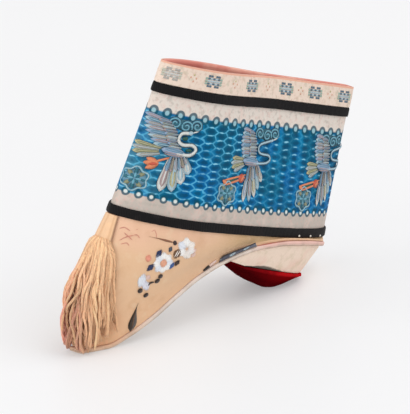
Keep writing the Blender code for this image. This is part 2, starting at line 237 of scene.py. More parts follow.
# One collar medallion, charted: d dark, l light, g green thread
MEDALLION = (".dd.dd.", "gdldldg", "glllllg", "gdldldg", ".dd.dd.")
MEDALLION_BLOCK = (1.3, 1.0)
MEDALLION_UP = 58.3
MEDALLION_ARCS = (5.7, 26.2, 52.1, 77.4, 96.2, 115.9, -15.0, -37.0, -60.0, -83.0, -106.0)


def mix(a, b, share):
    """The value a share of the way from a to b."""
    return a + (b - a) * share


def ramp(value, start, width):
    """From 0 at start to 1 a width further on."""
    return np.clip((value - start) / width, 0, 1)


def ease(share):
    """A share that starts and ends slowly."""
    return share**2 * (3 - 2 * share)


def srgb(red, green, blue):
    """A colour given in display values from 0 to 255, as the renderer's linear values."""
    values = []
    for channel in (red, green, blue):
        c = channel / 255
        values.append(c / 12.92 if c <= 0.04045 else ((c + 0.055) / 1.055) ** 2.4)
    return tuple(values)


# Settings that a user would change


def colour(name, description, *display):
    return bpy.props.FloatVectorProperty(
        name=name, description=description, subtype="COLOR", size=3, min=0, max=1, default=srgb(*display)
    )


def number(name, description, default, **more):
    return bpy.props.FloatProperty(name=name, description=description, default=default, **more)


def size(name, description, millimetres):
    return number(name, description, millimetres * MM, subtype="DISTANCE", unit="LENGTH")


def amount(name, description, default):
    return bpy.props.IntProperty(name=name, description=description, default=default, min=1)


class SlipperColours(bpy.types.PropertyGroup):
    """Colours of the cloths and threads"""

    silk: colour("Silk", "Cloth of the upper", 236, 194, 154)
    silk_low: colour("Aged silk", "Cloth of the upper near the sole", 240, 194, 152)
    silk_pink: colour("Pink silk", "Cloth of the upper near the band", 240, 194, 162)
    lining: colour("Lining", "Cloth inside the band", 226, 138, 124)
    teal: colour("Teal", "Darker ground of the woven band", 0, 98, 132)
    blue: colour("Blue", "Brighter ground of the woven band", 0, 102, 162)
    net: colour("Net", "Thin lines of the woven ground", 92, 186, 224)
    selvedge: colour("Selvedge", "Pale edges of the woven band", 196, 185, 175)
    ring: colour("Pearl rings", "Outline of the pearls", 8, 78, 98)
    pearl: colour("Pearls", "Middle of the pearls", 226, 234, 230)
    binding: colour("Bindings", "Black silk strips", 20, 18, 19)
    ribbon: colour("Collar ribbon", "Ground of the collar ribbon", 237, 216, 199)
    sole: colour("Sole", "Edge of the cloth sole", 238, 222, 210)
    sole_pink: colour("Sole at the heel", "Edge of the cloth sole over the heel", 238, 194, 182)
    heel: colour("Heel", "Cloth that covers the heel", 255, 232, 212)
    red: colour("Heel bottom", "Red cloth under the heel", 186, 22, 28)
    thread: colour("Tassel", "Silk of the tassel", 246, 200, 156)
    mauve: colour("Tassel shade", "Faded strands of the tassel", 224, 146, 138)


class SlipperSizes(bpy.types.PropertyGroup):
    """Sizes of the woven net and the tassel"""

    cell_width: size("Cell width", "From one column of the woven net to the next", 6.3)
    cell_height: size("Cell height", "Height of one cell of the woven net", 3.1)
    yarn_radius: size("Yarn radius", "Half the thickness of a tassel yarn", 0.25)
    thread_radius: size("Thread radius", "Half the thickness of a loose tassel thread", 0.09)
    strands: amount("Strands", "Twisted strands in the tassel", 168)
    threads: amount("Threads", "Loose threads in the tassel", 150)


class SlipperStage(bpy.types.PropertyGroup):
    """Camera, lights and floor"""

    azimuth: number("Azimuth", "Turn of the camera from the toe", math.radians(48), subtype="ANGLE")
    elevation: number("Elevation", "Tilt of the camera", math.radians(21.5), subtype="ANGLE")
    lens: number("Lens", "Focal length of the camera", 328, unit="CAMERA")
    distance: size("Distance", "From the toe to the camera", 1500)
    key_power: number("Key light", "Power of the soft light", 21, unit="POWER")
    fill_power: number("Fill light", "Power of the fill light", 17, unit="POWER")
    sky: number("Sky", "Strength of the pale surroundings", 0.7)
    floor: colour("Floor", "Colour of the floor", 200, 200, 201)


# Shape of the shoe


def wrapped(share):
    """A signed share of a loop: positive on the wearer's left, joined at the back."""
    return (np.asarray(share, float) + 1) % 2 - 1


def fullness(share, plan):
    """Half width at a share of the length, as a share of the greatest half width."""
    widest, front, back = plan
    ahead = np.clip((widest - share) / widest, 0, 1)
    behind = ramp(share, widest, 1 - widest)
    return np.where(share < widest, (1 - ahead**front) ** (1 / front), (1 - behind**back) ** (1 / back))


def smooth(table, y):
    """Height and slope at y on a smooth curve through a table's rows, flat wherever two rows are level."""
    rows_y, rows_z = np.array(table, float).T
    chords = np.diff(rows_z) / np.diff(rows_y)
    both = chords[:-1] * chords[1:]
    total = np.where(both > 0, chords[:-1] + chords[1:], 1)
    inner = np.where(both > 0, 2 * both / total, 0)
    slopes = np.concatenate([chords[:1], inner, chords[-1:]])
    span = np.clip(np.searchsorted(rows_y, y) - 1, 0, len(chords) - 1)
    width = rows_y[span + 1] - rows_y[span]
    t = (y - rows_y[span]) / width
    z0, z1 = rows_z[span], rows_z[span + 1]
    m0, m1 = slopes[span] * width, slopes[span + 1] * width
    height = (2 * t**3 - 3 * t**2 + 1) * z0 + (t**3 - 2 * t**2 + t) * m0
    height = height + (3 * t**2 - 2 * t**3) * z1 + (t**3 - t**2) * m1
    slope = (6 * t**2 - 6 * t) * (z0 - z1) + (3 * t**2 - 4 * t + 1) * m0 + (3 * t**2 - 2 * t) * m1
    return height, slope / width


def point(x, y, z):
    """Points from their coordinates, numbers or arrays."""
    return np.stack(np.broadcast_arrays(x, y, z), -1)


def unit(vector):
    """Vectors of length 1 along the given ones."""
    return vector / np.maximum(np.linalg.norm(vector, axis=-1, keepdims=True), 1e-9)


def above_tread(x, y, distance):
    """A point at a square distance above the sole's underside."""
    height, slope = smooth(ARCH, y)
    length = np.hypot(1, slope)
    return point(x, y - distance * slope / length, height + distance / length)


def collar_half(share):
    """Half width of the collar, which closes over the heel."""
    closing = ease(ramp(share, PINCH[0], PINCH[1] - PINCH[0]))
    return mix(COLLAR_HALF_WIDTH, PINCHED_HALF_WIDTH, closing) * fullness(share, COLLAR_PLAN)


def band_point(share, up):
    """A point on the band's outer face, at a signed share of its length and a height above its foot."""
    share = wrapped(share)
    side, share = np.sign(share), np.abs(share)
    rise = up / BAND_HEIGHT
    along = BAND_FRONT_RAKE * rise + share * mix(*BAND_LENGTH, rise)
    half = mix(BAND_FOOT_HALF_WIDTH * fullness(share, BAND_PLAN), collar_half(share), rise)
    y = along * math.cos(LEAN) + up * math.sin(LEAN)
    z = up * math.cos(LEAN) - along * math.sin(LEAN)
    return BAND_FOOT_FRONT + point(side * half, y, z)


def feather_point(share):
    """A point on the upper's lower edge, just above the sole."""
    side, share = np.sign(share), np.abs(share)
    half = SOLE_HALF_WIDTH * fullness(share, SOLE_PLAN)
    return above_tread(side * half, mix(TOE_Y, SEAT_BACK_Y, share), SOLE_THICKNESS + GAP)


def upper_point(share, rise):
    """A point on the upper's outer face: a curve from the sole's edge to the foot of the band."""
    share, rise = np.broadcast_arrays(wrapped(share), np.asarray(rise, float))
    low, high = feather_point(share), band_point(share, -GAP)
    height = np.linalg.norm(high - low, axis=-1, keepdims=True)
    far = np.abs(share)
    frontness = np.maximum(0, 1 - far / BAND_PLAN[0]) ** 2
    leave = unit(band_point(share, GAP) - band_point(share, 0.0))
    leave[..., 1] += np.sin(VAMP_KICK * frontness)
    side_spring = SIDE_SPRING * np.sign(share) * fullness(far, SOLE_PLAN)
    spring = unit(point(side_spring, -TOE_BULGE * frontness, np.ones_like(far)))
    low_handle = low + spring * height * LOWER_HANDLE
    high_handle = high - unit(leave) * height * UPPER_HANDLE
    rise = rise[..., None]
    fall = 1 - rise
    return low * fall**3 + low_handle * 3 * fall**2 * rise + high_handle * 3 * fall * rise**2 + high * rise**3


def normals(surface, a, b, step_a, step_b):
    """Outward normals of a surface at its two coordinates."""
    across = surface(a + step_a, b) - surface(a - step_a, b)
    climb = surface(a, b + step_b) - surface(a, b - step_b)
    return unit(np.cross(across, climb))


def on_band(share, up):
    """A point on the band and its normal."""
    return band_point(share, up), normals(band_point, share, up, SHARE_STEP, UP_STEP)


def band_normal(share, up):
    """Outward normal of the band, kept square to the band's own upright."""
    normal = on_band(share, up)[1]
    return unit(normal - (normal @ BAND_AXIS)[..., None] * BAND_AXIS)


def on_upper(share, rise):
    """A point on the upper and its normal."""
    inside = np.clip(rise, RISE_STEP, 1 - RISE_STEP)
    return upper_point(share, rise), normals(upper_point, share, inside, SHARE_STEP, RISE_STEP)


class ArcTable:
    """Turns an arc length from the front ridge into a share of the loop, at each height of a surface."""

    def __init__(self, surface, heights, reach):
        shares = np.linspace(0, reach, 400)
        self.heights = np.asarray(heights, float)
        curves = surface(shares[None, :], self.heights[:, None])
        steps = np.linalg.norm(np.diff(curves, axis=1), axis=-1)
        self.arcs = np.concatenate([np.zeros((len(self.heights), 1)), np.cumsum(steps, axis=1)], axis=1)
        self.shares = shares

    def share(self, arc, height):
        """Signed share at a signed arc length."""
        arc, height = np.broadcast_arrays(np.asarray(arc, float), np.asarray(height, float))
        row = np.interp(height, self.heights, np.arange(len(self.heights)))
        low = np.clip(row.astype(int), 0, max(len(self.heights) - 2, 0))
        high = np.minimum(low + 1, len(self.heights) - 1)
        found = np.zeros(arc.shape)
        for level in range(len(self.heights)):
            there = np.interp(np.abs(arc), self.arcs[level], self.shares)
            found += np.where(low == level, there * (1 - (row - low)), 0)
            found += np.where(high == level, there * (row - low), 0)
        return np.sign(arc) * found


# Height at which the woven pattern's arc lengths hold
PATTERN_UP = 26.5
BAND_ARCS = ArcTable(band_point, [PATTERN_UP], 1.0)
UPPER_ARCS = ArcTable(upper_point, np.linspace(0, 1, 21), 1.0)
HALF_LOOP = BAND_ARCS.arcs[0, -1]

# Moves the part's own coordinates into the row frame
SHIFT_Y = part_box("leg_band")[1][1] / MM - band_point(1.0, BAND_HEIGHT)[1]


def in_row(points):
    """Millimetres of the part's source as metres in the row frame."""
    return (points + np.array((0, SHIFT_Y, 0))) * MM


# Making of meshes


def corner_points(mesh):
    """Which point each face corner of a mesh is at."""
    corners = np.empty(len(mesh.loops), dtype=np.int32)
    mesh.loops.foreach_get("vertex_index", corners)
    return corners


def shaped_grid(name, columns, rows, place):
    """A grid primitive whose points go where place(across, up) puts them, both running from 0 to 1.

    place also returns the cloth's own measure at each point, which becomes the UV map named cloth.
    """
    bpy.ops.object.select_all(action="DESELECT")
    bpy.ops.mesh.primitive_grid_add(x_subdivisions=columns, y_subdivisions=rows, size=1, location=(0, 0, 0))
    piece = bpy.context.object
    piece.name = name
    mesh = piece.data
    mesh.name = name
    flat = np.empty(len(mesh.vertices) * 3)
    mesh.vertices.foreach_get("co", flat)
    flat = flat.reshape(-1, 3) + 0.5
    points, measure = place(flat[:, 0], flat[:, 1])
    mesh.vertices.foreach_set("co", in_row(points).ravel())
    mesh.uv_layers[0].name = "cloth"
    mesh.uv_layers["cloth"].data.foreach_set("uv", np.stack(measure, -1)[corner_points(mesh)].ravel())
    mesh.update()
    return piece


def close_seams(piece, recalculate):
    """Merges the points that meet along seams and at poles."""
    bpy.context.view_layer.objects.active = piece
    bpy.ops.object.mode_set(mode="EDIT")
    bpy.ops.mesh.select_all(action="SELECT")
    bpy.ops.mesh.remove_doubles(threshold=0.002 * MM)
    if recalculate:
        bpy.ops.mesh.normals_make_consistent(inside=False)
    bpy.ops.object.mode_set(mode="OBJECT")
    bpy.ops.object.shade_smooth_by_angle(angle=math.radians(50))


def give_wall(piece, thickness, *finishes):
    """Thickens a shell inwards; the inner face and the rims take the second finish."""
    for finish in finishes:
        piece.data.materials.append(finish.material)
    bpy.context.view_layer.objects.active = piece
    bpy.ops.object.modifier_add(type="SOLIDIFY")
    wall = piece.modifiers[-1]
    wall.thickness = thickness * MM
    wall.offset = -1
    wall.material_offset = 1
    wall.material_offset_rim = 1
    bpy.ops.object.modifier_apply(modifier=wall.name)


def dress(piece, finish, slot, *nodes):
    """Gives a piece its finish, unless it has one, and its body, and hides the solids that it stands for; its
    slot is not used.
    """
    if finish:
        piece.data.materials.append(finish.material)
    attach(piece, "root")
    if nodes:
        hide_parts(*nodes)
    piece.select_set(False)


def solid_piece(name, columns, rows, place, finish, slot, node):
    """A closed piece shaped from a grid, which stands for one solid."""
    piece = shaped_grid(name, columns, rows, place)
    close_seams(piece, True)
    dress(piece, finish, slot, node)


def through(section, up):
    """The columns of a section's rows, at a share of the way through the rows."""
    row = up * (len(section) - 1)
    return [np.interp(row, np.arange(len(section)), column) for column in np.array(section, float).T]


def mesh_piece(name, points, faces, dyes):
    """A piece from points in millimetres and faces, with a dye for each point."""
    mesh = bpy.data.meshes.new(name)
    mesh.from_pydata(in_row(points), [], faces)
    layer = mesh.color_attributes.new(name="dye", type="FLOAT_COLOR", domain="POINT")
    layer.data.foreach_set("color", np.concatenate([dyes, np.ones((len(dyes), 1))], axis=1).ravel())
    piece = bpy.data.objects.new(name, mesh)
    bpy.context.scene.collection.objects.link(piece)
    bpy.ops.object.select_all(action="DESELECT")
    bpy.context.view_layer.objects.active = piece
    piece.select_set(True)
    bpy.ops.object.mode_set(mode="EDIT")
    bpy.ops.mesh.select_all(action="SELECT")
    bpy.ops.mesh.normals_make_consistent(inside=False)
    bpy.ops.object.mode_set(mode="OBJECT")
    bpy.ops.object.shade_smooth()
    return piece


def ring_faces(bundles, rows, sides):
    """Faces of many closed tubes with the same number of rows and sides."""
    base = np.arange(bundles)[:, None, None] * rows * sides
    row = np.arange(rows - 1)[None, :, None] * sides
    side = np.arange(sides)[None, None, :]
    after = (side + 1) % sides
    corners = (side, after, after + sides, side + sides)
    walls = np.stack([(base + row + corner).ravel() for corner in corners], -1)
    start = np.arange(bundles)[:, None] * rows * sides + np.arange(sides)[None, ::-1]
    end = np.arange(bundles)[:, None] * rows * sides + (rows - 1) * sides + np.arange(sides)[None, :]
    return walls.tolist() + start.tolist() + end.tolist()


def rounded_path(path, rows):
    """Points along a smooth curve through the given ones, evenly spaced."""
    path = np.array(path, float)
    if len(path) == 2:
        return mix(path[0], path[1], np.linspace(0, 1, rows)[:, None])
    ends = np.concatenate([2 * path[:1] - path[1:2], path, 2 * path[-1:] - path[-2:-1]])
    t = np.linspace(0, 1, 12, endpoint=False)[:, None]
    pieces = []
    for p0, p1, p2, p3 in zip(ends, ends[1:], ends[2:], ends[3:]):
        bend = 2 * p0 - 5 * p1 + 4 * p2 - p3
        twist = 3 * p1 - p0 - 3 * p2 + p3
        pieces.append(0.5 * (2 * p1 + (p2 - p0) * t + bend * t**2 + twist * t**3))
    dense = np.concatenate(pieces + [path[-1:]])
    walked = np.concatenate([[0], np.cumsum(np.linalg.norm(np.diff(dense, axis=0), axis=1))])
    wanted = np.linspace(0, walked[-1], rows)
    return np.stack([np.interp(wanted, walked, dense[:, 0]), np.interp(wanted, walked, dense[:, 1])], -1)


# Half width along a stitch, as a share of its greatest, at shares of its length
TAPERS = {
    "leaf": lambda t: np.sin(np.pi * t) ** 0.7,
    "petal": lambda t: np.sin(np.pi * t**0.7) ** 0.55,
    "feather": lambda t: np.minimum(1, 0.45 + 0.8 * t) * np.sqrt(np.clip((1 - t) / 0.22, 0, 1)),
    "disc": lambda t: np.sqrt(np.clip(1 - (2 * t - 1) ** 2, 0, 1)),
    "quill": lambda t: np.sin(np.pi * t**2.2) ** 0.8,
    "block": lambda t: np.where((t > 0.02) & (t < 0.98), 1.0, 0.9),
    "line": lambda t: np.clip(np.minimum(t, 1 - t) / 0.12, 0.25, 1),
}


class Floss:
    """Flat stitches laid on a surface and gathered into one mesh.

    surface(a, b) gives points and normals. A chart turns a stitch's own millimetres into a and b. A dye is a
    colour or the name of one in the palette.
    """

    ROWS = 11
    LEAST_HALF_WIDTH = 0.02

    def __init__(self, surface, palette):
        self.surface = surface
        self.palette = palette
        self.edges = []
        self.lifts = []
        self.dyes = []

    def lay(self, chart, path, width, dye, form="line", lift=0.08, thickness=0.12):
        centre = rounded_path(path, self.ROWS)
        along = np.gradient(centre, axis=0)
        across = unit(np.stack([-along[:, 1], along[:, 0]], -1))
        half = TAPERS[form](np.linspace(0, 1, self.ROWS)) * width / 2
        aside = across * np.maximum(half, self.LEAST_HALF_WIDTH)[:, None]
        self.edges.append([chart(*side.T) for side in (centre + aside, centre, centre - aside)])
        self.lifts.append((lift, thickness))
        self.dyes.append(self.palette[dye] if isinstance(dye, str) else dye)

    def lay_all(self, chart, stitches):
        """Lays stitches from rows of path, width, dye, form and lift."""
        for stitch in stitches:
            self.lay(chart, *stitch)

    def lay_long(self, chart, path, step, overlap, layers):
        """Lays a long line in lengths of a few points; each layer gives a width, a dye and a lift."""
        for width, dye, lift in layers:
            for start in range(0, len(path) - 1, step):
                self.lay(chart, path[start : start + step + overlap], width, dye, "block", lift)

    def make(self, name):
        edges = np.array(self.edges)
        lift, thickness = np.array(self.lifts).T[:, :, None, None]
        sides = [self.surface(edges[:, i, 0], edges[:, i, 1]) for i in range(3)]
        (left, left_out), (centre, centre_out), (right, right_out) = sides
        rings = [
            left + left_out * lift,
            centre + centre_out * (lift + thickness),
            right + right_out * lift,
            centre + centre_out * (lift - 0.5 * thickness),
        ]
        points = np.stack(rings, axis=2).reshape(-1, 3)
        dyes = np.repeat(np.array(self.dyes), self.ROWS * 4, axis=0)
        return mesh_piece(name, points, ring_faces(len(edges), self.ROWS, 4), dyes)


def band_chart(arc, up):
    """Places a pattern's arc length and height on the band; past the back seam it goes on round the loop."""
    arc = (np.asarray(arc, float) + HALF_LOOP) % (2 * HALF_LOOP) - HALF_LOOP
    return BAND_ARCS.share(arc, PATTERN_UP), up


def moved_chart(chart, arc, up):
    """A chart whose own zero lies at an arc length and height of another."""
    return lambda x, y: chart(arc + x, up + y)


def vamp_chart(side, share, rise):
    """A flat chart of millimetres round one place of the upper: x towards the heel, y up."""
    step, climb = 0.01, 0.02
    by_share = (upper_point(share + step, rise) - upper_point(share - step, rise)) / (2 * step)
    by_rise = (upper_point(share, rise + climb) - upper_point(share, rise - climb)) / (2 * climb)
    out = unit(np.cross(by_share, by_rise))
    x_axis = unit(by_share)
    y_axis = np.cross(out, x_axis)
    grid = np.array(((by_share @ x_axis, by_rise @ x_axis), (by_share @ y_axis, by_rise @ y_axis)))
    back = np.linalg.inv(grid)

    def place(x, y):
        share_step = back[0, 0] * x + back[0, 1] * y
        rise_step = back[1, 0] * x + back[1, 1] * y
        return side * np.maximum(share + share_step, 0.001), np.clip(rise + rise_step, 0.004, 0.996)

    return place


# Finishes


def operation(name, reflected=False):
    """A Python operator that adds a Math node; a reflected one has its own term last."""

    def apply(self, *others):
        return self.finish.math(name, *((*others, self) if reflected else (self, *others)))

    return apply


class Value:
    """A shader socket that takes part in Python expressions."""

    def __init__(self, finish, socket):
        self.finish = finish
        self.socket = socket

    __add__ = operation("ADD")
    __radd__ = operation("ADD", reflected=True)
    __sub__ = operation("SUBTRACT")
    __rsub__ = operation("SUBTRACT", reflected=True)
    __mul__ = operation("MULTIPLY")
    __rmul__ = operation("MULTIPLY", reflected=True)
    __mod__ = operation("FLOORED_MODULO")
    __rmod__ = operation("FLOORED_MODULO", reflected=True)
    __pow__ = operation("POWER")
    __rpow__ = operation("POWER", reflected=True)
    __abs__ = operation("ABSOLUTE")


class Finish:
    """A material and the nodes that give a surface its finish."""

    def __init__(self, name, **constants):
        self.material = bpy.data.materials.new(name)
        self.material.use_nodes = True
        self.nodes = self.material.node_tree.nodes
        self.links = self.material.node_tree.links
        self.shader = self.nodes["Principled BSDF"]
        for key, value in constants.items():
            self.shader.inputs[key.replace("_", " ")].default_value = value

    def feed(self, socket, value):
        """Links a value to a socket, or sets the socket to a number or colour."""
        if isinstance(value, Value):
            self.links.new(value.socket, socket)
        elif socket.type == "RGBA":
            socket.default_value = (*value[:3], 1)
        else:
            socket.default_value = value

    def node(self, kind, settings, inputs, output=0):
        """One output of a new node: its settings go in first, then the values or links of its sockets."""
        made = self.nodes.new(kind)
        for key, value in settings.items():
            setattr(made, key, value)
        for key, value in inputs.items():
            self.feed(made.inputs[key], value)
        return Value(self, made.outputs[output])

    def math(self, name, *terms):
        return self.node("ShaderNodeMath", {"operation": name}, dict(enumerate(terms)))

    def blend(self, first, second, share):
        """Colour between two, by a share."""
        return self.node("ShaderNodeMix", {"data_type": "RGBA"}, {0: share, 6: first, 7: second}, 2)

    def rise(self, value, low, high):
        """From 0 below low to 1 above high, smoothly."""
        inputs = {"Value": value, "From Min": low, "From Max": high}
        return self.node("ShaderNodeMapRange", {"interpolation_type": "SMOOTHSTEP"}, inputs)

    def wave(self, value, period):
        """A sine wave along a value."""
        return self.math("SINE", value * (2 * math.pi / period))

    def split(self, vector):
        """The three numbers of a vector."""
        made = self.node("ShaderNodeSeparateXYZ", {}, {0: vector}).socket.node
        return [Value(self, output) for output in made.outputs]

    @cached_property
    def place(self):
        """Object coordinates."""
        return self.node("ShaderNodeTexCoord", {}, {}, "Object")

    @cached_property
    def axes(self):
        """The place's x, y and z, in metres."""
        return self.split(self.place)

    @cached_property
    def cloth(self):
        """The cloth's own measure, u and v in millimetres."""
        return self.split(self.node("ShaderNodeUVMap", {"uv_map": "cloth"}, {}))[:2]

    def noise(self, scale, detail=2.0, roughness=0.5):
        inputs = {"Vector": self.place, "Scale": scale, "Detail": detail, "Roughness": roughness}
        return self.node("ShaderNodeTexNoise", {}, inputs)

    def patches(self, scale, low, high, detail=3.0, roughness=0.5):
        """Soft patches: 0 where a noise is below low to 1 where it is above high."""
        return self.rise(self.noise(scale, detail, roughness), low, high)

    def mottle(self, tone, high, stains):
        """Patches of several colours over a tone; each stain gives a scale, a colour and a share."""
        for scale, stain, share in stains:
            tone = self.blend(tone, srgb(*stain), share * self.patches(scale, 0.5, high))
        return tone

    def paint(self, base, roughness, height=None, depth=0.1):
        """Feeds the shader; depth is the bump's height in millimetres."""
        self.feed(self.shader.inputs["Base Color"], base)
        self.feed(self.shader.inputs["Roughness"], roughness)
        if height is not None:
            inputs = {"Strength": 1.0, "Distance": depth * MM, "Height": height}
            self.feed(self.shader.inputs["Normal"], self.node("ShaderNodeBump", {}, inputs))
        return self


def silk_finish(colours):
    """Aged plain silk: pinker near the band, browner at the toe, with a fine weave and soft stains."""
    finish = Finish("aged_silk", Sheen_Weight=0.15, Sheen_Roughness=0.4)
    y = finish.axes[1]
    u, v = finish.cloth
    tone = finish.blend(colours.silk_low, colours.silk, finish.rise(v, 4.0, 24.0))
    pink = finish.rise(v + 14 * finish.noise(70), 42.0, 58.0) * (1 - finish.rise(y, -0.02, 0.0))
    tone = finish.blend(tone, colours.silk_pink, pink)
    khaki = finish.rise(y, -0.016, 0.006) * finish.rise(v, 16.0, 34.0)
    tone = finish.blend(tone, srgb(204, 168, 118), 0.75 * khaki)
    stain = finish.patches(110, 0.46, 0.72, 4.0, 0.6)
    tone = finish.blend(tone, srgb(212, 160, 116), 0.3 * stain)
    tone = finish.blend(tone, srgb(242, 212, 178), 0.4 * finish.patches(190, 0.55, 0.75, 3.0, 0.6))
    toe = (1 - finish.rise(y, -0.066, -0.052)) * (1 - finish.rise(v, 8.0, 16.0))
    tone = finish.blend(tone, srgb(206, 150, 102), 0.6 * toe)
    tone = finish.blend(tone, srgb(244, 178, 138), 0.6 * toe * finish.patches(480, 0.5, 0.6))
    weave = finish.wave(u, 0.42) * finish.wave(v, 0.5)
    tone = finish.blend(tone, srgb(180, 136, 98), 0.12 * finish.rise(weave, 0.2, 1.0))
    return finish.paint(tone, 0.55 + 0.16 * stain, 0.5 * weave + finish.noise(900), 0.05)


def tab_finish(colours):
    """Tan silk of the front tab, with a painted shadow along its edge on the wearer's left."""
    finish = Finish("tab_silk", Sheen_Weight=0.15, Sheen_Roughness=0.4)
    u = finish.cloth[0]
    tone = finish.blend(colours.silk, colours.thread, finish.patches(260, 0.4, 0.65))
    fold = finish.wave(u + 0.8 * finish.noise(160), 2.1)
    tone = finish.blend(tone, srgb(196, 146, 104), 0.35 * finish.rise(fold, 0.3, 1.0))
    # Painted shadow along the tab's edge on the wearer's left
    tone = finish.blend(tone, srgb(128, 84, 62), 0.8 * finish.rise(u, 2.7, 3.2))
    return finish.paint(tone, 0.6, fold + finish.noise(900), 0.12)


def lining_finish(colours):
    """Pink cloth, paler where it is worn."""
    finish = Finish("pink_lining", Sheen_Weight=0.1)
    tone = finish.blend(colours.lining, srgb(240, 178, 158), finish.patches(120, 0.42, 0.7, 4.0))
    return finish.paint(tone, 0.85, finish.noise(1600, 1.0), 0.06)


def honeycomb(finish, u, v, sizes):
    """Honeycomb over the cloth: 0 in the middle of a cell to 1 on its edge, and knots on the level edges."""
    reach = math.sqrt(3)
    along, high = u * (reach * MM / sizes.cell_width), v * (2 * MM / sizes.cell_height)
    edges, knots = [], []
    for shift_along, shift_high in ((0.0, 0.0), (reach, 1.0)):
        across = abs((along + shift_along) % (2 * reach) - reach)
        up = abs((high + shift_high) % 2.0 - 1.0)
        edges.append(finish.math("MAXIMUM", up, 0.5 * up + across * (reach / 2)))
        knots.append((1 - finish.rise(across, 0.1, 0.5)) * finish.rise(up, 0.72, 0.95))
    return finish.math("MINIMUM", *edges), finish.math("MAXIMUM", *knots)


def brocade_finish(colours, sizes):
    """Woven band: pale selvedges, two rows of pearls and a blue ground covered with a net."""
    finish = Finish("woven_band", Specular_IOR_Level=0.1)
    u, v = finish.cloth
    ground = finish.blend(colours.teal, colours.blue, finish.patches(52, 0.42, 0.6, 2.0))
    ground = finish.blend(ground, srgb(10, 138, 190), 0.6 * finish.patches(170, 0.5, 0.68))
    wobble = finish.noise(340, 3.0) - 0.5
    edge, knot = honeycomb(finish, u + 2.6 * wobble, v + 1.4 * wobble, sizes)
    ground = finish.blend(ground, srgb(0, 66, 98), 0.75 * (1 - finish.rise(edge, 0.25, 0.8)))
    line = finish.rise(edge, 0.8, 0.94)
    worn = finish.patches(240, 0.32, 0.6)
    fine = 1 - 0.75 * finish.rise(u, 56.0, 74.0)
    ground = finish.blend(ground, colours.net, line * fine * (0.25 + 0.55 * worn))
    ground = finish.blend(ground, srgb(150, 216, 238), knot * (0.25 + 0.6 * worn))
    ridge = finish.rise(abs(u), 22.0, 2.0)
    ground = finish.blend(ground, srgb(104, 170, 190), 0.35 * ridge * worn)
    selvedge = finish.blend(colours.selvedge, srgb(226, 216, 206), finish.rise(v, 28.0, 44.0))
    stains = ((170, (230, 206, 194), 0.4), (520, (178, 170, 160), 0.5), (760, (222, 178, 168), 0.35))
    inside = finish.rise(v, 8.8, 9.4) * (1 - finish.rise(v, 42.8, 43.6))
    cloth = finish.blend(finish.mottle(selvedge, 0.68, stains), ground, inside)
    # Height of each row of pearls, pitch, outer radius, radius and colour of the pearl
    for row, pitch, radius, pearl, tint in (
        (9.4, 4.95, 1.75, 0.75, colours.pearl),
        (42.9, 6.0, 2.15, 1.0, srgb(158, 198, 208)),
    ):
        away = finish.math("SQRT", (u % pitch - pitch / 2) ** 2 + (v - row) ** 2) + 0.5 * wobble
        ring = 1 - finish.rise(away, radius - 0.2, radius + 0.15)
        cloth = finish.blend(cloth, colours.ring, 0.85 * ring)
        heart = 1 - finish.rise(away, pearl - 0.25, pearl + 0.25)
        cloth = finish.blend(cloth, tint, 0.92 * heart)
    rib = finish.wave(v, 0.5) * finish.wave(u, 0.9)
    height = 0.4 * rib + finish.noise(1500, 1.0) + 0.8 * line * inside
    return finish.paint(cloth, 0.55 + 0.2 * worn, height, 0.06)


def binding_finish(colours):
    """Black silk strip with fine ribs, greyer where it is worn."""
    finish = Finish("black_binding", Specular_IOR_Level=0.15)
    u, v = finish.cloth
    rib = finish.wave(u + 0.35 * v, 0.9)
    worn = finish.patches(260, 0.52, 0.74, 4.0, 0.65)
    tone = finish.blend(colours.binding, srgb(50, 44, 44), 0.5 * worn)
    tone = finish.blend(tone, srgb(14, 12, 15), 0.5 * finish.rise(rib, 0.1, 0.9))
    return finish.paint(tone, 0.65 + 0.2 * worn, 0.6 * rib + finish.noise(1800, 1.0), 0.08)


def ribbon_finish(colours):
    """Collar ribbon: cream silk with soft stains and a peach edge at the rim."""
    finish = Finish("collar_ribbon_silk", Sheen_Weight=0.1)
    u, v = finish.cloth
    stains = ((210, (236, 200, 180), 0.5), (420, (198, 188, 164), 0.6), (800, (208, 170, 152), 0.4))
    tone = finish.mottle(colours.ribbon, 0.7, stains)
    rim = finish.rise(v, BAND_HEIGHT - 0.9, BAND_HEIGHT - 0.4)
    tone = finish.blend(tone, srgb(236, 168, 138), 0.85 * rim)
    weave = finish.wave(u, 0.55) * finish.wave(v, 0.5)
    return finish.paint(tone, 0.65, 0.5 * weave + finish.noise(1500, 1.0), 0.06)


def floss_finish(name, sheen, roughness):
    """Silk floss that takes its colour from each stitch's dye."""
    finish = Finish(name, Sheen_Weight=sheen, Sheen_Roughness=0.35)
    # On the tassel the dye also holds painted shade on the deeper strands
    dye = finish.node("ShaderNodeAttribute", {"attribute_name": "dye"}, {}, "Color")
    strand = finish.noise(1400)
    tone = finish.blend(dye, srgb(120, 100, 84), 0.22 * finish.rise(strand, 0.5, 0.8))
    return finish.paint(tone, roughness, strand, 0.08)


def sole_finish(colours):
    """Layered cloth edge, pinker over the heel, soiled underneath."""
    finish = Finish("sole_cloth", Sheen_Weight=0.05)
    y = finish.axes[1]
    u, v = finish.cloth
    tone = finish.blend(colours.sole, colours.sole_pink, finish.rise(y, 0.004, 0.018))
    tone = finish.blend(tone, srgb(232, 184, 146), 0.8 * (1 - finish.rise(y, -0.058, -0.036)))
    under = 1 - finish.rise(v, 0.2, 1.2)
    tone = finish.blend(tone, srgb(206, 186, 168), 0.7 * under)
    soil = finish.patches(150, 0.35, 0.65, 4.0, 0.6)
    tone = finish.blend(tone, srgb(150, 128, 108), soil * (0.2 + 0.4 * under))
    return finish.paint(tone, 0.85, 0.3 * finish.wave(u, 1.1) + finish.noise(1300), 0.1)


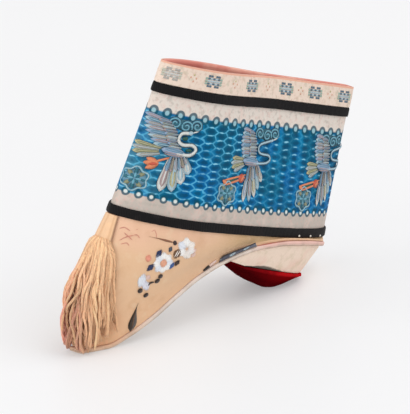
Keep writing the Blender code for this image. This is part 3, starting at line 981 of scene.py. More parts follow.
def heel_finish(colours):
    """Cloth over the heel: pale weave with pink and straw patches, rubbed grey over the red bottom."""
    finish = Finish("heel_cloth", Sheen_Weight=0.05)
    x, y, z = finish.axes
    v = finish.cloth[1]
    tone = finish.blend(colours.heel, srgb(240, 194, 174), 0.7 * finish.patches(80, 0.42, 0.7))
    tone = finish.blend(tone, srgb(224, 204, 172), 0.5 * finish.patches(240, 0.5, 0.7))
    weave = finish.wave(y + 0.4 * z, 0.9 * MM) * finish.wave(z, 0.8 * MM)
    tone = finish.blend(tone, srgb(206, 170, 146), 0.2 * finish.rise(weave, 0.1, 0.8))
    reach = 1.2 * v + 1.2 * finish.noise(420, 3.0) + 130 * abs(y - 0.017)
    worn = (1 - finish.rise(reach, 1.8, 2.6)) * finish.rise(x, 0.002, 0.006)
    tone = finish.blend(tone, srgb(66, 64, 56), 0.9 * worn)
    return finish.paint(tone, 0.85, weave + finish.noise(1200), 0.08)


def red_finish(colours):
    """Red cloth: brightest along the rim at the back, with painted shade underneath and a painted shadow at
    the front, and rubbed darker in patches.
    """
    finish = Finish("red_heel_bottom", Specular_IOR_Level=0.0)
    y, down = finish.axes[1], finish.cloth[1]
    # Painted shade: the red darkens from the rim down over the underside
    tone = finish.blend(colours.red, srgb(118, 6, 12), finish.rise(down, 0.0, 0.16))
    tone = finish.blend(tone, srgb(80, 2, 8), finish.rise(down, 0.2, 0.7))
    tone = finish.blend(tone, srgb(104, 10, 14), 0.5 * finish.patches(260, 0.45, 0.7, 4.0, 0.65))
    # Painted shadow: the red darkens towards the front of the heel
    tone = finish.blend(tone, srgb(62, 4, 8), 0.85 * (1 - finish.rise(y, 0.006, 0.034)))
    return finish.paint(tone, 0.8, finish.noise(1000), 0.1)


def plain_cloth_finish():
    """Plain tan weave of the inner pad."""
    finish = Finish("insole_cloth", Sheen_Weight=0.05)
    x, y = finish.axes[:2]
    tone = finish.blend(srgb(222, 196, 172), srgb(196, 160, 134), finish.patches(120, 0.4, 0.7, 4.0))
    weave = finish.wave(x, 0.8 * MM) * finish.wave(y, 0.8 * MM)
    return finish.paint(tone, 0.9, weave + finish.noise(900), 0.08)


def scrap_finish():
    """Patterned ribbon scrap: grey-blue with a dark outline and pale rosettes."""
    finish = Finish("ribbon_scrap", Sheen_Weight=0.1)
    u, v = finish.cloth
    tone = finish.blend(srgb(56, 58, 74), srgb(104, 106, 118), finish.patches(400, 0.4, 0.7))
    across = abs(v - ARCH_RIBBON[2] / 2)
    away = finish.math("SQRT", (0.7 * (u % 6.8 - 3.4)) ** 2 + across**2)
    tone = finish.blend(tone, srgb(176, 198, 206), 1 - finish.rise(away, 0.7, 1.1))
    tone = finish.blend(tone, srgb(48, 54, 72), 1 - finish.rise(away, 0.15, 0.45))
    tone = finish.blend(tone, srgb(26, 24, 34), finish.rise(across, 1.0, 1.25))
    return finish.paint(tone, 0.6, finish.noise(1500, 1.0), 0.06)


def floor_finish(stage):
    """Pale paper that glows a little, as under studio light, so that shadows on it stay light."""
    finish = Finish("pale_floor", Specular_IOR_Level=0.3, Emission_Strength=0.3)
    tone = finish.blend(stage.floor, srgb(196, 196, 198), 0.5 * finish.noise(6.0))
    return finish.paint(tone, 0.45)


# Pieces


def crease_depth(points, rise):
    """Soft troughs and ridges of the silk, laid out one by one."""
    # Start and end as share and rise, half width and depth in millimetres
    creases = (
        ((0.035, 0.90), (0.10, 0.80), 1.6, -0.30),
        ((0.05, 0.97), (0.12, 0.90), 1.4, 0.22),
        ((0.28, 0.30), (0.44, 0.52), 2.6, -0.35),
        ((0.24, 0.16), (0.40, 0.28), 2.2, 0.25),
        ((0.48, 0.30), (0.66, 0.72), 2.4, -0.30),
        ((0.56, 0.82), (0.80, 0.60), 2.0, 0.25),
        ((0.10, 0.30), (0.13, 0.55), 2.0, -0.22),
        ((0.88, 0.35), (0.97, 0.75), 2.2, -0.25),
    )
    edge_fade = 0.06
    depth = np.zeros(len(points))
    t = np.linspace(0, 1, 24)
    for start, end, half_width, height in creases:
        for side in (1, -1):
            line = upper_point(side * mix(start[0], end[0], t), mix(start[1], end[1], t))
            distance = np.linalg.norm(points[:, None] - line, axis=-1)
            nearest = t[np.argmin(distance, axis=1)]
            away = distance.min(axis=1) / half_width
            depth += height * np.exp(-(away**2)) * np.sin(np.pi * (0.08 + 0.84 * nearest))
    return depth * ramp(np.minimum(rise, 1 - rise), 0, edge_fade)


def make_upper(colours):
    """The outer face goes up from the sole, the lining comes down again, and both close at the rims."""
    rows, columns = 60, 300
    loop_rows = 2 * rows + 2
    reach = UPPER_ARCS.arcs[:, -1]

    def place(across, up):
        row = np.round(up * loop_rows) % loop_rows
        level = np.minimum(row, loop_rows - 1 - row) / rows
        turn = 2 * across - 1
        share = UPPER_ARCS.share(turn * np.interp(level, UPPER_ARCS.heights, reach), level)
        points, out = on_upper(share, level)
        depth = crease_depth(points, level) - UPPER_WALL * (row > rows)
        arc = turn * np.interp(0.5, UPPER_ARCS.heights, reach)
        return points + out * depth[:, None], (arc, UPPER_CLOTH * level)

    piece = shaped_grid("silk_upper", columns, loop_rows, place)
    first_row = (corner_points(piece.data) // (columns + 1)).reshape(-1, 4).min(axis=1)
    piece.data.polygons.foreach_set("material_index", (first_row >= rows).astype(np.int32))
    close_seams(piece, False)
    for finish in (silk_finish(colours), lining_finish(colours)):
        piece.data.materials.append(finish.material)
    dress(piece, None, "upper", "upper")


def make_leg_band(colours, sizes):
    """The woven tube, with its lining inside; the cloth's measure is arc and height."""

    def place(across, up):
        arc = (2 * across - 1) * HALF_LOOP
        share = BAND_ARCS.share(arc, PATTERN_UP)
        height = BAND_HEIGHT * up
        return band_point(share, height), (arc, height)

    piece = shaped_grid("woven_leg_band", 320, 48, place)
    close_seams(piece, False)
    give_wall(piece, BAND_WALL, brocade_finish(colours, sizes), lining_finish(colours))
    dress(piece, None, "leg_band", "leg_band")


def ragged(arc, seed):
    """A small worn unevenness along an edge, in millimetres, that closes round the band."""
    turn = np.pi * arc / HALF_LOOP
    rng = np.random.default_rng(seed)
    wear = np.zeros(len(arc))
    for waves in (17, 31, 53, 89):
        wear += np.sin(waves * turn + rng.uniform(0, 6.3)) / waves**0.35
    return 0.05 * wear


def make_strip(name, strip, crown, wear, finish, slot, node):
    """A strip round the band with a rounded section; crown is how far its middle stands over its edges."""
    low, high, thickness = strip
    edge = thickness * (1 - crown)
    shoulder = edge + 0.6 * (thickness - edge)
    # Share of the strip's height, distance out from its inner face
    section = ((0.0, 0.0), (0.0, edge), (0.05, shoulder), (0.16, thickness), (0.5, thickness + 0.02))
    section += ((0.84, thickness), (0.95, shoulder), (1.0, edge), (1.0, 0.0), (0.5, 0.0), (0.0, 0.0))

    def place(across, up):
        arc = (2 * across - 1) * HALF_LOOP
        share = BAND_ARCS.share(arc, PATTERN_UP)
        level, out = through(section, up)
        fray = wear * (ragged(arc, 3) * (1 - level) + ragged(arc, 8) * level)
        height = np.clip(mix(low, high, level) + fray, low - 0.1, BAND_HEIGHT)
        points = band_point(share, height) + band_normal(share, height) * (GAP + out)[:, None]
        return points, (arc, height)

    solid_piece(name, 360, len(section) - 1, place, finish, slot, node)


def make_plan_solid(name, outline, section, finish, slot, node):
    """A flat solid on the sole's curve.

    outline(share) gives half width and y. The section's rows give a share of the half width, a distance past
    the outline and a distance above the tread.
    """
    step = 0.002

    def place(across, up):
        share = 2 * across - 1
        side, far = np.sign(share), np.abs(share)
        far = 0.65 * far + 0.35 * (1 - np.cos(np.pi * far)) / 2
        rung, edge, distance = through(section, up)
        half, y = outline(far)
        ahead, behind = outline(np.minimum(far + step, 1)), outline(np.maximum(far - step, 0))
        along = np.stack([ahead[0] - behind[0], ahead[1] - behind[1]], -1)
        tip = (far < step) | (far > 1 - step)
        along[tip] = np.where(far[tip] < 0.5, 1, -1)[:, None] * np.array((1, 0))
        along = unit(along)
        half = half + along[:, 1] * edge
        y = y - along[:, 0] * edge
        half[tip] = 0
        points = above_tread(side * half * rung, y, distance)
        return points, (mix(TOE_Y, SEAT_BACK_Y, far), distance)

    solid_piece(name, 240, (len(section) - 1) * 2, place, finish, slot, node)


def make_sole(colours):
    """The arched sole, with a groove between its two layers of cloth."""

    def outline(share):
        return SOLE_HALF_WIDTH * fullness(share, SOLE_PLAN), mix(TOE_Y, SEAT_BACK_Y, share)

    inner = SOLE_EDGE - SOLE_ROUNDING
    section = (
        (0, inner, 0),
        (0.6, inner, 0),
        (1, inner, 0),
        (1, SOLE_EDGE - 0.1, 0.2),
        (1, SOLE_EDGE, 0.6),
        (1, SOLE_EDGE - 0.12, 0.9),
        (1, SOLE_EDGE, 1.2),
        (1, SOLE_EDGE - 0.1, 1.6),
        (1, inner, SOLE_THICKNESS),
        (0.6, inner, SOLE_THICKNESS),
        (0, inner, SOLE_THICKNESS),
    )
    make_plan_solid("cloth_sole", outline, section, sole_finish(colours), "sole", "sole")


def make_insole():
    """The pad on the sole, with a softened upper edge."""
    front, back = TOE_Y + INSOLE_TOE, SEAT_BACK_Y - INSOLE_HEEL

    def outline(share):
        return (SOLE_HALF_WIDTH - INSOLE_INSET) * fullness(share, SOLE_PLAN), mix(front, back, share)

    low = SOLE_THICKNESS + GAP
    high = low + INSOLE_THICKNESS
    section = ((0, 0, low), (0.6, 0, low), (1, 0, low), (1, 0, high - 0.2))
    section += ((0.97, 0, high), (0.6, 0, high), (0, 0, high))
    make_plan_solid("inner_pad", outline, section, plain_cloth_finish(), "insole", "insole")


# Share of the heel's loop that its flat front takes up
BREAST = 0.16


def heel_rows(across):
    """Side, share across the breast and run from the breast to the back, for a loop of the heel."""
    turn = 2 * across - 1
    far = np.abs(turn)
    run = ramp(far, BREAST, 1 - BREAST)
    return np.sign(turn), ramp(far, 0, BREAST), 1 - (1 - run) ** 1.6


def heel_foot(run, edge):
    """Half width and y of the heel's foot, at a run from the breast to the back and widened by an edge."""
    front, back = HEEL_FOOT_Y
    half = HEEL_FOOT_HALF_WIDTH * (1 - run**HEEL_ROUND) ** (1 / HEEL_ROUND)
    return half + edge * (run < 1), mix(front - edge, back + edge, run)


def heel_foot_z(y):
    """Height of the heel's slanted foot."""
    return HEEL_FOOT_BACK_Z + (HEEL_FOOT_Y[1] - y) * HEEL_FOOT_SLOPE


def make_heel(colours):
    """The block from its foot up to the sole; its first and last rows close the ends."""
    rows = 14

    def place(across, up):
        side, breast, run = heel_rows(across)
        foot_x, foot_y = heel_foot(run, 0)
        foot = point(foot_x, foot_y, heel_foot_z(foot_y) + LIFT_RIM + GAP)
        top_y = mix(*HEEL_TOP_Y, run)
        top_half = SOLE_HALF_WIDTH * fullness((top_y - TOE_Y) / (HEEL_TOP_Y[1] - TOE_Y), SOLE_PLAN)
        top = above_tread(top_half, top_y, -GAP)
        row = up * rows
        rung = np.clip(np.minimum(row, rows - row), 0, 1)
        level = ramp(row, 1, rows - 2)
        points = mix(foot, top, (level**HEEL_SPACING)[:, None])
        tuck = np.where((level > 0) & (level < 1), 0.0, -0.25)
        points[:, 0] += tuck
        points[:, 0] *= side * breast * rung
        return points, (top_y, level * np.linalg.norm(top - foot, axis=1))

    solid_piece("cloth_heel", 200, rows, place, heel_finish(colours), "heel", "heel")


def make_heel_lift(colours):
    """The red bottom: a rim under the block, rounded down to the tread."""
    # Share of the plan, share of the way down from the rim; the first rows are the top face
    rings = ((0.0, -1.0), (1.0, -1.0), (1.0, -0.4), (1.0, 0.0), (0.95, 0.14), (0.9, 0.28), (0.84, 0.42))
    rings += ((0.73, 0.64), (0.62, 0.82), (0.5, 0.94), (0.38, 1.0), (0.2, 1.0), (0.0, 1.0))

    def place(across, up):
        side, breast, run = heel_rows(across)
        foot_x, foot_y = heel_foot(run, LIFT_EDGE)
        scale, down = through(rings, up)
        y = mix(LIFT_CENTRE_Y, foot_y, np.where(down < 0, 1, scale))
        rim = heel_foot_z(y)
        tread = mix(rim, smooth(LIFT_TREAD, y)[0], np.maximum(down, 0))
        z = np.where(down < 0, rim - down * LIFT_RIM, tread)
        return point(foot_x * scale * side * breast, y, z), (y, down)

    solid_piece("red_heel_bottom", 200, len(rings) - 1, place, red_finish(colours), "heel_lift", "heel_lift")


def make_strap(name, rows_of, thickness, columns, finish, slot, node):
    """A flat strap with closed ends and edges; rows_of(along, level) gives its base, normals and measure."""
    # Share of the width, share of the thickness
    section = ((0, 0), (0, 0.6), (0.06, 1), (0.3, 1), (0.5, 1), (0.7, 1), (0.94, 1), (1, 0.6), (1, 0))
    section += ((0.5, 0), (0, 0))

    def place(across, up):
        level, out = through(section, up)
        step = across * columns
        closed = np.clip(np.minimum(step, columns - step), 0, 1)
        points, normal, measure = rows_of(ramp(step, 1, columns - 2), mix(0.5, level, closed))
        out = GAP + thickness * mix(0.5, out, closed)
        return points + normal * out[:, None], measure

    solid_piece(name, columns, len(section) - 1, place, finish, slot, node)


def make_arch_ribbons():
    """A scrap of ribbon just above the sole's edge, on each side of the arch."""
    start, end, width, thickness = ARCH_RIBBON
    finish = scrap_finish()
    for name, side in (("arch_ribbon_left", 1), ("arch_ribbon_right", -1)):

        def rows_of(along, level, side=side):
            share = mix(start, end - 0.025 * level, along)
            height = np.linalg.norm(upper_point(share, 1.0) - upper_point(share, 0.0), axis=-1)
            points, normal = on_upper(side * share, (GAP + width * level) / height)
            points = points + normal * (ARCH_RIBBON_CLEARANCE - GAP)
            return points, normal, ((SEAT_BACK_Y - TOE_Y) * share, width * level)

        make_strap(name + "_cloth", rows_of, thickness, 40, finish, "arch_ribbon", name)


def make_front_tab(colours):
    """The tab widens towards the tassel, most of all on the wearer's left."""
    high, low, half_width, thickness = FRONT_TAB

    def rows_of(along, level):
        rise = mix(high, low - 0.045, along)
        side = 2 * level - 1
        arc = side * np.where(side > 0, mix(half_width + 0.4, 5.8, along), mix(half_width, 4.2, along))
        points, normal = on_upper(UPPER_ARCS.share(arc, rise), rise)
        return points, normal, (half_width * side, UPPER_CLOTH * rise)

    make_strap("silk_front_tab", rows_of, thickness, 24, tab_finish(colours), "upper", "front_tab")


def strand_paths(across, ends, depth, rows, rng):
    """Centre lines of tassel strands and their outward directions.

    The strands leave the tab together, spread over the toe and hang to the given shares of the vamp's height.
    """
    count = len(across)
    t = np.linspace(0, 1, rows)[None, :]
    drift = rng.normal(0, 0.1, (count, 1)) * t**1.3
    swing = 2 * np.pi * rng.uniform(0.8, 2.6, (count, 1)) * t
    phase = rng.uniform(0, 6.28, (count, 1))
    sway = rng.uniform(0.015, 0.06, (count, 1)) * np.sqrt(t)
    wander = np.clip(across + drift + sway * np.sin(swing + phase), -1.03, 1.03)
    rise = mix(STRAND_START, ends, t)
    shares, *columns = np.array(TASSEL)[::-1].T
    spread, thickness, clearance = [np.interp(rise, shares, column) for column in columns]
    crown = np.sqrt(np.clip(1 - np.clip(wander, -1, 1) ** 2, 0.05, 1))
    lift = clearance + 0.5 + thickness * crown * depth * 0.9
    lift = lift * mix(0.3, 1.0, ramp(t, 0, 0.1)) * (1 - 0.26 * np.sin(np.pi * ramp(t, 0, 0.7)))
    lift = lift * (1 - 0.45 * ramp(t, 0.75, 0.25) ** 1.5)
    lift = lift + 0.4 * np.sin(swing + 2 * phase) * t
    gather = mix(0.7, 1.0, ease(ramp(t, 0, 0.2)))
    arc = (wander * spread + 2.4 * (1 - t**2) * np.maximum(wander, 0)) * gather
    points, out = on_upper(UPPER_ARCS.share(arc, rise), rise)
    points = points + out * np.maximum(lift, 0.4)[..., None]
    points[..., 2] -= 1.8 * ramp(t, 0.85, 0.15) * (ends < 0.15)
    lowest = 0.7 + 0.9 * rng.uniform(0, 1, (count, 1))
    points[..., 2] = np.maximum(points[..., 2], lowest)
    return points, out


def tube_points(paths, radius, sides):
    """Rings of points round many centre lines."""
    along = unit(np.gradient(paths, axis=1))
    aside = unit(np.cross(along, np.array((0.3, -0.8, 0.5))))
    other = np.cross(along, aside)
    rings = []
    for side in range(sides):
        turn = 2 * math.pi * side / sides
        rings.append(paths + (aside * math.cos(turn) + other * math.sin(turn)) * radius)
    return np.stack(rings, axis=2)


# Painted shade on the strands that lie deepest, under the others: their tone as a share of their dye
DEEP_STRAND_SHADE = np.array((0.56, 0.44, 0.36))


def make_strands(name, count, plies, ring, radius, colours, rng):
    """Strands of a few plies twisted on a ring; three in ten are short and lie over the rest."""
    rows, sides = 28, 4

    def draw(low, high):
        return rng.uniform(low, high, (count, 1))

    t = np.linspace(0, 1, rows)
    short = np.arange(count)[:, None] % 10 < 3
    across = np.linspace(-1, 1, count)[:, None] + rng.normal(0, 0.05, (count, 1))
    across = np.where(short, 0.8 * across - 0.16, across)
    stop = mix(draw(0.0, 0.06), draw(0.06, 0.16), ramp(across, 0.3, 0.4))
    stop = np.where(short, draw(0.2, 0.4), stop) + 0.06 * across**2
    depth = np.where(short, draw(0.95, 1.25), draw(0.2, 0.95))
    centre, out = strand_paths(across, stop, depth, rows, rng)
    aside = unit(np.cross(np.gradient(centre, axis=1), out))
    faded = np.exp(-(((across + 0.32) / 0.42) ** 2)) * (draw(0, 1) > 0.25)
    faded = np.minimum(np.where(short, 0.4, 1.1) * faded * ramp(t, 0.3, 0.3), 1)[..., None]
    # Random tone of each strand, times painted shade on the strands that lie deeper
    tone = draw(0.78, 1.15)[..., None] * mix(DEEP_STRAND_SHADE, 1.0, (np.minimum(depth, 1) ** 0.7)[..., None])
    strand_dye_and_shade = mix(np.array(colours.thread), np.array(colours.mauve), faded) * tone
    start, twists = draw(0, 6.28), draw(3.0, 5.0)
    thinned = radius * np.clip(np.minimum(t, 1.02 - t) / 0.05, 0.35, 1)[None, :, None]
    points, dyes = [], []
    for ply in range(plies):
        turn = (start + 2 * math.pi * (ply / plies + twists * t))[..., None]
        path = centre + ring * (aside * np.cos(turn) + out * np.sin(turn))
        points.append(tube_points(path, thinned, sides))
        dyes.append(strand_dye_and_shade * draw(0.88, 1.16)[..., None])
    points = np.concatenate(points).reshape(-1, 3)
    dyes = np.clip(np.repeat(np.concatenate(dyes), sides, axis=1).reshape(-1, 3), 0, 1)
    return mesh_piece(name, points, ring_faces(count * plies, rows, sides), dyes)


def make_tassel(colours, sizes):
    """Twisted yarns, the shorter ones towards the wearer's right, and loose threads."""
    finish = floss_finish("tassel_silk", 0.15, 0.65)
    rng = np.random.default_rng(21)
    yarns = make_strands("tassel_yarns", sizes.strands, 4, 0.32, sizes.yarn_radius / MM, colours, rng)
    dress(yarns, finish, "tassel", "tassel")
    threads = make_strands("tassel_threads", sizes.threads, 1, 0.0, sizes.thread_radius / MM, colours, rng)
    dress(threads, finish, "tassel")


CRANE_DYES = {
    "dark": srgb(28, 82, 106),
    "lilac": srgb(144, 168, 196),
    "mist": srgb(168, 196, 208),
    "white": srgb(215, 217, 213),
    "grey": srgb(98, 144, 166),
    "rose": srgb(172, 150, 150),
    "tan": srgb(174, 164, 150),
    "olive": srgb(139, 142, 112),
    "straw": srgb(190, 184, 144),
    "orange": srgb(222, 135, 95),
    "scarlet": srgb(198, 87, 63),
    "green": srgb(28, 84, 72),
    "sky": srgb(106, 167, 186),
    "jade": srgb(32, 103, 120),
}

# Small stitches of the cranes: path, width, dye, form and lift
BUD = (
    (((-5.8, -5.4), (-9.4, -6.0)), 1.3, "scarlet", "leaf", 0.26),
    (((-7.0, -4.6), (-1.6, -2.0)), 0.9, "orange", "line", 0.2),
)
LEGS = (
    (((-2.4, -5.0), (-15.8, -7.8)), 0.9, "orange", "line", 0.14),
    (((-2.6, -6.2), (-14.6, -9.6)), 0.9, "orange", "line", 0.14),
    (((-7.0, -6.4), (-13.6, -8.4)), 1.4, "green", "leaf", 0.1),
    (((-16.6, -7.8), (-13.6, -9.2)), 1.9, "orange", "leaf", 0.16),
    (((-7.0, -6.6), (-3.2, -6.4)), 3.6, "scarlet", "disc", 0.2),
    (((-5.6, -7.8), (-3.6, -5.4)), 1.2, "orange", "leaf", 0.32),
)
# Green ground inside the bends of a curled neck
NECK_BENDS = (
    (((4.2, 1.9), (7.0, 2.2)), 1.3, "green", "disc", 0.3),
    (((1.4, 6.2), (4.0, 6.6)), 1.6, "green", "disc", 0.3),
)


def lay_outlined(floss, chart, path, width, dye, form, lift):
    """A stitch with a dark edge under it."""
    floss.lay(chart, path, width + 0.5, "dark", form, lift)
    floss.lay(chart, path, width, dye, form, lift + 0.06)


def fan(feathers, count):
    """Roots and tips of feathers spread evenly through the given ones."""
    return list(zip(*[rounded_path(ends, count) for ends in zip(*feathers)]))


def lay_feather(floss, chart, root, tip, width, edge, heart, lift):
    """A rounded feather: dark outline, pale edge, coloured heart and a thin quill."""
    floss.lay(chart, (root, tip), width + 0.4, "dark", "feather", lift)
    floss.lay(chart, (root, tip), width, edge, "feather", lift + 0.06)
    floss.lay(chart, (root, mix(root, tip, 0.88)), 0.6 * width, heart, "feather", lift + 0.12)
    floss.lay(chart, (root, mix(root, tip, 0.8)), 0.14 * width, edge, "line", lift + 0.22)


def lay_wing(floss, chart, feathers, count, width, edges, hearts, lift):
    """A fan of feathers that takes its edge and heart dyes in turn."""
    for i, (root, tip) in enumerate(fan(feathers, count)):
        lay_feather(floss, chart, root, tip, width, edges[i % len(edges)], hearts[i % len(hearts)], lift)


def lay_crane(floss, chart, lean, curled, feathers):
    """One crane: tail, bud or legs, two wings, body, neck and beak, with green in a curled neck's bends."""

    def leaning(x, y):
        stretch = 1.4 if curled else 1.0
        return chart(np.where(x < 0, stretch * x, x) - lean * np.maximum(y - 1.0, 0), y)

    lay_wing(floss, leaning, TAIL, 4, 1.9, ("straw", "mist"), ("olive", "tan"), 0.06)
    if curled:
        for tip in ((-10.8, -3.8), (-11.6, -5.8), (-10.2, -8.0)):
            lay_outlined(floss, chart, ((-5.4, -5.2), tip), 2.4, "orange", "leaf", 0.1)
    floss.lay_all(chart, BUD if curled else LEGS)
    lay_wing(floss, leaning, UPPER_WING, 8, 2.0, ("lilac", "mist"), ("rose", "grey", "tan"), 0.08)
    lay_wing(floss, leaning, COVERTS, 9, 1.5, ("rose", "lilac", "tan"), ("grey", "olive", "mist"), 0.28)
    hearts = ("rose", "straw", "mist", "white") if curled else ("lilac", "rose", "straw", "mist", "tan")
    width = (16.4 if curled else 13.8) / feathers
    lay_wing(floss, chart, LOWER_WING, feathers, width, ("white", "mist"), hearts, 0.08)
    lay_wing(floss, chart, LOWER_COVERTS, 6, 1.6, ("lilac", "rose", "mist"), ("grey", "olive", "rose"), 0.28)
    lay_outlined(floss, chart, ((-6.2, 0.8), (-1.0, 0.4), (5.0, -0.2)), 4.0, "lilac", "leaf", 0.4)
    for shift in (-1.3, -0.4, 0.5, 1.4):
        vein = "rose" if shift < 0 else "grey"
        floss.lay(chart, ((-4.6, shift + 0.4), (3.4, 0.7 * shift)), 0.38, vein, "line", 0.56)
    neck = rounded_path(CURLED_NECK if curled else CRANE_NECK, 49)
    thick, dye = (1.3, "white") if curled else (0.8, "mist")
    floss.lay_long(chart, neck, 12, 2, ((thick + 0.7, "dark", 0.44), (thick, dye, 0.52)))
    head = neck[-1]
    floss.lay(chart, (head - (0.8, 0.3), head + (1.4, 0.4)), 1.4 * thick, "mist", "leaf", 0.6)
    floss.lay(chart, (head + (0.8, 0.2), head + (3.6, 1.2)), 0.6, "white", "leaf", 0.6)
    if curled:
        floss.lay_all(chart, NECK_BENDS)


def lay_rosette(floss, chart):
    """A lobed flower: mottled petals inside a pale outline."""
    floss.lay(chart, ((-4.8, 0), (4.8, 0)), 8.0, "grey", "disc", 0.03)
    for near, far, width, names, lift in (
        (1.8, 4.2, 1.8, ("jade", "olive"), 0.08),
        (0.4, 2.4, 1.3, ("sky", "jade"), 0.18),
    ):
        for petal in range(8):
            way = np.array((1.12 * math.sin(math.pi * petal / 4), math.cos(math.pi * petal / 4)))
            floss.lay(chart, (near * way, far * way), width, names[petal % 2], "petal", lift)
    turn = np.linspace(0, 2 * np.pi, 49)
    radius = 4.4 + 0.5 * np.cos(6 * turn)
    ring = np.stack([1.14 * radius * np.sin(turn), radius * np.cos(turn)], -1)
    floss.lay_long(chart, ring, 6, 1, ((0.9, "sky", 0.14), (0.35, "mist", 0.24)))


def lay_cloud(floss, chart):
    """A row of cloud scrolls."""
    floss.lay(chart, ((-8.0, 0.2), (8.0, -0.2)), 4.6, "jade", "leaf", 0.03)
    turn = np.linspace(0.3, 3.1 * np.pi, 22)
    radius = np.linspace(0.5, 2.8, 22)
    for middle, high, hand in ((-5.2, 0.2, 1), (0.0, -0.4, -1), (5.0, 0.4, 1)):
        curl = np.stack([middle + hand * radius * np.cos(turn), high + 0.85 * radius * np.sin(turn)], -1)
        floss.lay_long(chart, curl, 7, 1, ((1.5, "dark", 0.1), (0.7, "sky", 0.18)))


def make_woven_figures():
    """Cranes, rosettes and clouds round the band, and three pale nicks at its foot near the back."""
    floss = Floss(on_band, CRANE_DYES)
    for arc, lean, curled, feathers, cloud in CRANES:
        lay_rosette(floss, moved_chart(band_chart, arc - 12.8, CRANE_UP - 12.9))
        lay_cloud(floss, moved_chart(band_chart, arc + cloud, CRANE_UP + 11.4))
        lay_crane(floss, moved_chart(band_chart, arc, CRANE_UP), lean, curled, feathers)
    for before_back in (11.0, 19.5, 28.0):
        nick = HALF_LOOP - before_back
        ends = ((nick - 0.6, -0.15), (nick + 0.6, 0.05))
        floss.lay(band_chart, ends, 1.0, srgb(240, 234, 224), "disc", 0.86)
    dress(floss.make("woven_figures"), floss_finish("figure_silk", 0.05, 0.65), "leg_band")


def make_medallions():
    """Charted medallions and small dots round the collar ribbon."""

    def on_ribbon(share, up):
        points, out = on_band(share, up)
        return points + out * (GAP + COLLAR_RIBBON[2]), out

    floss = Floss(on_ribbon, {"dot": srgb(222, 168, 142), "leaf": srgb(196, 186, 132)})
    threads = {"d": srgb(84, 108, 126), "l": srgb(176, 194, 202), "g": srgb(158, 180, 166)}
    pale = np.array(srgb(228, 214, 196))
    step_x, step_y = MEDALLION_BLOCK
    # Arc and height from the middle between two medallions, and dye
    dots = ((-1.4, 0.2, "dot"), (0.0, 1.3, "leaf"), (1.3, 0.1, "dot"), (0.1, -1.2, "dot"))
    arcs = sorted(MEDALLION_ARCS)
    for arc, after in zip(arcs, arcs[1:] + [arcs[0] + 2 * HALF_LOOP]):
        faint = 0.5 if abs(arc) < 10 else 0.0
        for row, chart_row in enumerate(MEDALLION):
            for column, thread in enumerate(chart_row):
                if thread == ".":
                    continue
                x = arc + (column - 3) * step_x
                y = MEDALLION_UP + (2 - row) * step_y
                dye = mix(np.array(threads[thread]), pale, faint)
                ends = ((x - step_x * 0.46, y), (x + step_x * 0.46, y))
                floss.lay(band_chart, ends, step_y * 0.86, dye, "block", 0.03, 0.06)
        for shift, rise, dye in dots:
            middle, high = (arc + after) / 2 + shift, MEDALLION_UP + rise
            floss.lay(band_chart, ((middle - 0.4, high), (middle + 0.4, high)), 0.8, dye, "disc", 0.03, 0.05)
    dress(floss.make("collar_medallions"), floss_finish("medallion_silk", 0.1, 0.65), "collar_ribbon")


EMBROIDERY_DYES = {
    "white": srgb(255, 252, 249),
    "ice": srgb(236, 240, 248),
    "peach": srgb(242, 178, 146),
    "navy": srgb(26, 46, 92),
    "blue": srgb(58, 96, 158),
    "bark": srgb(58, 36, 32),
    "slate": srgb(70, 82, 98),
    "blush": srgb(238, 206, 194),
    "cream": srgb(252, 244, 236),
    "brown": srgb(112, 76, 46),
    "stem": srgb(140, 92, 62),
    "coral": srgb(244, 164, 138),
    "lilac": srgb(232, 232, 242),
    "seed": srgb(48, 32, 26),
    "quill": srgb(50, 38, 27),
    "pink": srgb(214, 140, 122),
    "black": srgb(34, 30, 26),
}


def lay_satin(floss, chart, start, end, width, dye, lift, threads=6, full=0.8):
    """A filled petal or leaf of stitches side by side, longest in the middle; pointed where full is 1."""
    start, end = np.array(start, float), np.array(end, float)
    along = unit(end - start)
    across = np.array((-along[1], along[0]))
    half = np.linalg.norm(end - start) / 2
    middle = (start + end) / 2
    for thread in range(threads):
        aside = 2 * (thread + 0.5) / threads - 1
        reach = along * half * (1 - full * aside**2) ** (0.5 + 0.5 * full)
        place = middle + across * aside * width / 2
        tone = 0.93 + 0.09 * ((thread * 7) % 5) / 4
        shade = tuple(min(1.0, channel * tone) for channel in floss.palette[dye])
        floss.lay(chart, (place - reach, place + reach), 1.5 * width / threads, shade, "leaf", lift)


def lay_round(floss, chart, centre, first, last, width, names, lift, turn=0.0):
    """Petals round a centre, from one radius to another."""
    for petal, dye in enumerate(names):
        angle = 2 * math.pi * petal / len(names) + turn
        way = np.array((math.sin(angle), math.cos(angle)))
        near, far = centre + first * way, centre + last * way
        lay_satin(floss, chart, near, far, width, dye, lift)


